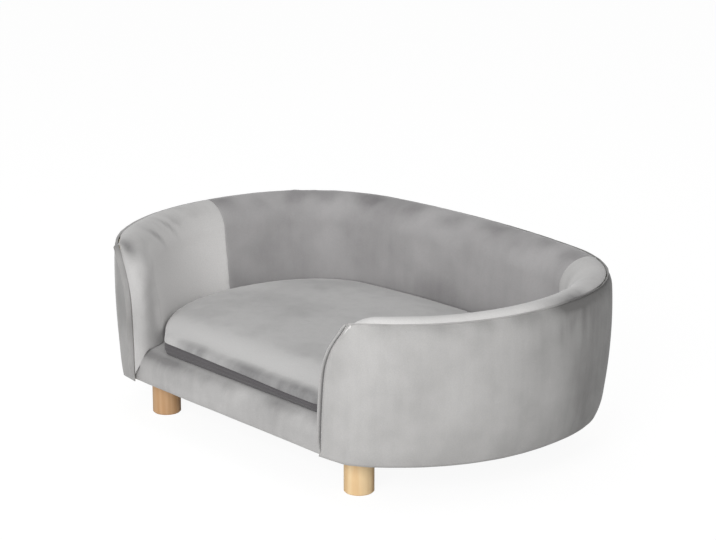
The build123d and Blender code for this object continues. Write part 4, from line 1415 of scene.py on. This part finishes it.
        # Darker in the grooves between the ribs: painted shade, which the band's plain cloth finish does not read
        nap_and_painted_light = np.tile(0.5 - 0.5 * np.cos(2 * pi * heights * self.band_ribs), (count, 1))
        return sheet_object("cushion_band", grid, nap_and_painted_light, closed=True)

    def underside(self) -> Piece:
        """The cushion's lower panel, open along the zip.

        Returns:
            The new piece.
        """
        edge, rings = self.outline(self.band_bow, 240), 14
        count, points = len(edge), []
        for ring in range(rings + 1):
            share = ring / rings
            for x, y in edge:
                slot_x = max(-self.slot_half_length, min(self.slot_half_length, x * 1.2))
                slot_y = ZIP_Y + (self.slot_half_width if y > ZIP_Y else -self.slot_half_width)
                dip = 0.0004 * ripple(x * 20, y * 20, 6.0, share * 3) * sin(pi * share)
                points.append((mix(x, slot_x, share), mix(y, slot_y, share), self.low_z + 0.0003 + abs(dip)))
        points += [(x, y, self.low_z + 0.0036) for x, y, _ in points[-count:]]
        faces = [(a, d, c, b) for a, b, c, d in ring_faces(rings + 2, count)]
        return cloth_object("cushion_underside", points, faces, self.underside_thickness)


def read_points(mesh: Mesh) -> np.ndarray:
    """Returns the points of a mesh, shape (count, 3)."""
    points = np.zeros(len(mesh.vertices) * 3)
    mesh.vertices.foreach_get("co", points)
    return points.reshape(-1, 3)


# Repeats made by geometry nodes


class RepeatTree:
    """A geometry node tree that sets one small mesh at points along a line."""

    def __init__(self, name: str, material: Material) -> None:
        """Builds the tree with a count, a start and a step as inputs.

        Args:
            name: Name of the tree.
            material: Finish of the repeated mesh.
        """
        self.tree = bpy.data.node_groups.new(name, "GeometryNodeTree")
        face = self.tree.interface
        kinds = {"Geometry": "Geometry", "Count": "Int", "Start": "Vector", "Offset": "Vector"}
        self.inputs = [
            face.new_socket(label, in_out="INPUT", socket_type="NodeSocket" + kind) for label, kind in kinds.items()
        ]
        face.new_socket("Geometry", in_out="OUTPUT", socket_type="NodeSocketGeometry")
        nodes = self.tree.nodes
        source, out = nodes.new("NodeGroupInput"), nodes.new("NodeGroupOutput")
        steps = ("MeshLine", "InstanceOnPoints", "RealizeInstances", "SetMaterial")
        line, place, realize, finish = (nodes.new("GeometryNode" + step) for step in steps)
        line.mode = "OFFSET"
        finish.inputs["Material"].default_value = material
        links = (
            (source.outputs["Count"], line.inputs["Count"]),
            (source.outputs["Start"], line.inputs["Start Location"]),
            (source.outputs["Offset"], line.inputs["Offset"]),
            (line.outputs["Mesh"], place.inputs["Points"]),
            (source.outputs["Geometry"], place.inputs["Instance"]),
            (place.outputs["Instances"], realize.inputs["Geometry"]),
            (realize.outputs["Geometry"], finish.inputs["Geometry"]),
            (finish.outputs["Geometry"], out.inputs["Geometry"]),
        )
        for first, second in links:
            self.tree.links.new(first, second)

    def bake(self, name: str, unit_mesh: Mesh, count: int, start: tuple, offset: tuple) -> Piece:
        """Repeats a mesh and turns the result into a plain mesh piece.

        Args:
            name: Name of the piece.
            unit_mesh: The mesh that is repeated.
            count: How many there are.
            start: Where the first stands.
            offset: The step from one to the next.

        Returns:
            The new piece.
        """
        piece = new_object(name, unit_mesh)
        repeat = piece.modifiers.new("repeat", "NODES")
        repeat.node_group = self.tree
        for socket, value in zip(self.inputs[1:], (count, start, offset)):
            repeat[socket.identifier] = value
        shaped = piece.evaluated_get(bpy.context.evaluated_depsgraph_get())
        mesh = bpy.data.meshes.new_from_object(shaped)
        piece.modifiers.remove(repeat)
        piece.data = mesh
        mesh.name = name
        return piece


@dataclass
class CushionZip:
    """The zip on the cushion's underside."""

    length: float = 0.3596
    top_z: float = 0.1031
    chain_width: float = 0.005
    chain_height: float = 0.0014
    pitch: float = 0.0024

    def tooth(self) -> Mesh:
        """One pair of meshing teeth as a small rounded block.

        Returns:
            The flat-shaded mesh.
        """
        half_x, half_y, height = self.pitch * 0.36, self.chain_width / 2, self.chain_height
        profile = [(-half_y, 0.3), (-half_y * 0.8, 0.8), (0.0, 1.0), (half_y * 0.8, 0.8), (half_y, 0.3)]
        points = []
        for side in (-1, 1):
            points += [(side * half_x, y + side * 0.0002, -height * drop) for y, drop in profile]
            points += [(side * half_x, half_y, 0.0), (side * half_x, -half_y, 0.0)]
        size = len(profile) + 2
        ends = [tuple(range(size - 1, -1, -1)), tuple(range(size, 2 * size))]
        mesh = mesh_from("zip_tooth", points, ring_faces(2, size) + ends)
        mesh.shade_flat()
        return mesh

    def build(self, finishes: dict) -> None:
        """Builds the teeth; the tape, slider and pull stay as they are and get their finishes.

        Args:
            finishes: Slot names to materials.
        """
        count = int(self.length / self.pitch)
        tree = RepeatTree("zip_teeth_tree", finishes["zip_plastic"])
        start = (-self.pitch * (count - 1) / 2, ZIP_Y, self.top_z)
        piece = tree.bake("zip_teeth", self.tooth(), count, start, (self.pitch, 0.0, 0.0))
        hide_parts("zip_chain")
        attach(piece, "cushion")
        LOG.info("zip: %s with %d teeth", piece.name, count)


# Underside


@dataclass
class Underside:
    """The thin black cloth under the base, tacked to it all round."""

    plan: WallPlan
    inset: float = 0.022
    z: float = 0.052
    front_setback: float = 0.010
    thickness: float = 0.0005
    columns: int = 81

    def build(self, finishes: dict) -> None:
        """Builds the cloth with slight folds between its staples.

        Args:
            finishes: Slot names to materials.
        """
        outline = half_outline(self.plan, self.inset, 70, self.plan.front_y + self.front_setback, 0.9)
        rows = len(outline)
        grid = np.zeros((rows, self.columns, 3))
        for i, (x, y) in enumerate(outline):
            for j, share in enumerate(np.linspace(-1.0, 1.0, self.columns)):
                border = min(1.0 - abs(share), min(i, rows - 1 - i) / 12)
                fold = 0.0005 * max(0.0, ripple(share * 14, y * 30, 2.0)) * smooth(border * 6)
                grid[i, j] = (share * x, y, self.z + fold)
        piece = sheet_object("base_lining_cloth", grid, np.zeros(grid.shape[:2]), self.thickness)
        dress(piece, finishes["lining_cloth"], "lining_cloth")
        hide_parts("base_lining")
        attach(piece, "sofa")
        width, length, area = flat_size(outline)
        LOG.info("underside: %s", piece.name)


# Studio


@dataclass
class Studio:
    """Plain pale floor, soft light and the camera at the photograph's angle."""

    camera_place: tuple = (2.21138, -1.93850, 1.03868)
    camera_target: tuple = (-0.07668, 0.05750, 0.18014)
    lamp_target: tuple = (0.0, 0.0, 0.12)
    lens: float = 116.42
    sensor_width: float = 36.0
    floor_size: float = 12.0
    floor_glow: float = 1.08
    floor_glow_share: float = 0.86
    surround_light: float = 0.40

    def aim(self, name: str, data: bpy.types.ID, place: tuple, target: tuple) -> Piece:
        """Sets up a camera or a lamp.

        Args:
            name: Its name.
            data: Its data.
            place: Where it stands.
            target: The point that it faces.

        Returns:
            The new object.
        """
        thing = new_object(name, data)
        thing.location = place
        thing.rotation_euler = (Vector(target) - Vector(place)).to_track_quat("-Z", "Y").to_euler()
        return thing

    def camera(self) -> None:
        """Sets up the camera."""
        data = bpy.data.cameras.new("camera")
        data.lens, data.sensor_width = self.lens, self.sensor_width
        bpy.context.scene.camera = self.aim("camera", data, self.camera_place, self.camera_target)

    def lamp(self, name: str, place: tuple, size: float, power: float) -> None:
        """Adds a square soft lamp that points at the sofa."""
        data = bpy.data.lights.new(name, "AREA")
        data.size, data.energy = size, power
        self.aim(name, data, place, self.lamp_target)

    def floor(self) -> None:
        """Adds the pale floor, which shows nearly white with a light shadow."""
        corners = [(x * self.floor_size, y * self.floor_size, 0.0) for x, y in ((-1, -1), (1, -1), (1, 1), (-1, 1))]
        plane = new_object("floor", mesh_from("floor", corners, [(0, 1, 2, 3)]))
        sheet = NodeSheet("floor_white")
        sheet.feed(sheet.shader, {"Base Color": (0.9, 0.9, 0.9), "Roughness": 0.9})
        glow = sheet.add("Emission", {"Color": WHITE, "Strength": self.floor_glow}).outputs[0]
        seen = sheet.add("LightPath").outputs["Is Camera Ray"]
        share = sheet.math("MULTIPLY", seen, self.floor_glow_share)
        pick = sheet.add("MixShader", {0: share, 1: sheet.shader.outputs[0], 2: glow})
        sheet.feed(sheet.end, {"Surface": pick.outputs[0]})
        plane.data.materials.append(sheet.material)

    def world(self) -> None:
        """Sets an even white surrounding, pure white to the camera."""
        world = bpy.data.worlds.new("studio")
        world.use_nodes = True
        tree = world.node_tree
        ground = next(n for n in tree.nodes if n.type == "BACKGROUND")
        ground.inputs["Color"].default_value = (*WHITE, 1.0)
        path, level = tree.nodes.new("ShaderNodeLightPath"), tree.nodes.new("ShaderNodeMapRange")
        level.inputs["To Min"].default_value = self.surround_light
        level.inputs["To Max"].default_value = 1.0
        tree.links.new(path.outputs["Is Camera Ray"], level.inputs["Value"])
        tree.links.new(level.outputs[0], ground.inputs["Strength"])
        bpy.context.scene.world = world

    def build(self) -> None:
        """Builds the studio."""
        self.camera()
        self.floor()
        self.world()
        self.lamp("key", (1.4, -2.4, 1.2), 1.2, 48.0)
        self.lamp("top", (-0.6, 0.2, 2.2), 1.4, 7.0)
        bpy.context.scene.view_settings.view_transform = "Standard"
        LOG.info("studio ready")


def make_finishes() -> dict:
    """Builds every finish of the record.

    Returns:
        The record's slot names to materials.
    """
    # Painted shade for the legs on the left side, darker and warmer
    leg_painted_shade = (0.76, 0.64, 0.60)
    kinds = (
        # One velvet in four copies: velvet_arms is the lit copy, and velvet_outer, velvet_back and velvet_cushion
        # are darker copies with painted shade in their colours
        Velvet("velvet_arms", (0.60, 0.592, 0.585), (0.24, 0.235, 0.235)),
        Velvet("velvet_back", (0.44, 0.43, 0.432), (0.19, 0.182, 0.186)),
        Velvet("velvet_outer", (0.50, 0.493, 0.486), (0.18, 0.176, 0.172)),
        Velvet("velvet_cushion", (0.55, 0.545, 0.54), (0.18, 0.177, 0.18)),
        PlainCloth("boxing_cloth", (0.085, 0.080, 0.084)),
        PlainCloth("lining_cloth", (0.03, 0.03, 0.03)),
        PlainCloth("zip_tape_cloth", (0.05, 0.05, 0.05)),
        FoamFinish("foam", (0.80, 0.76, 0.62)),
        Timber("plywood", (0.66, 0.50, 0.32), (0.50, 0.34, 0.19), along=0),
        Timber("hardboard", (0.33, 0.21, 0.13), (0.24, 0.15, 0.09), ring_scale=60.0),
        Timber("pine", (0.76, 0.60, 0.40), (0.60, 0.42, 0.24)),
        Timber("leg_wood", (0.90, 0.68, 0.40), (0.80, 0.55, 0.29), ring_scale=30.0, left_painted_shade=leg_painted_shade),
        Metal("zinc_steel", (0.55, 0.55, 0.54)),
        Metal("zip_plastic", (0.04, 0.04, 0.04), 0.0, 0.45),
        Metal("zip_metal", (0.16, 0.16, 0.16), 1.0, 0.4),
    )
    return {kind.name: kind.build() for kind in kinds}


def dress_nodes(frame: dict, finishes: dict) -> None:
    """Gives every node of the model that stays its finish.

    Args:
        frame: The loaded model.
        finishes: Slot names to materials.
    """
    for entry in frame["record"]["subparts"]:
        node = bpy.data.objects.get(entry["node"])
        for slot in node.material_slots if node else ():
            slot.link = "OBJECT"
            slot.material = finishes[entry["material_slot"]]
    LOG.info("nodes dressed")


def main() -> None:
    """Loads the model, builds each sub-assembly in order and sets up the studio."""
    logging.basicConfig(level=logging.INFO, format="%(name)s: %(message)s")
    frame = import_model()
    finishes = make_finishes()
    dress_nodes(frame, finishes)
    plan = WallPlan()
    WallUpholstery(plan).build(finishes)
    FrontRail(plan).build(finishes)
    SeatCushion(plan).build(finishes)
    CushionZip().build(finishes)
    Underside(plan).build(finishes)
    Studio().build()


if __name__ == "__main__":
    main()
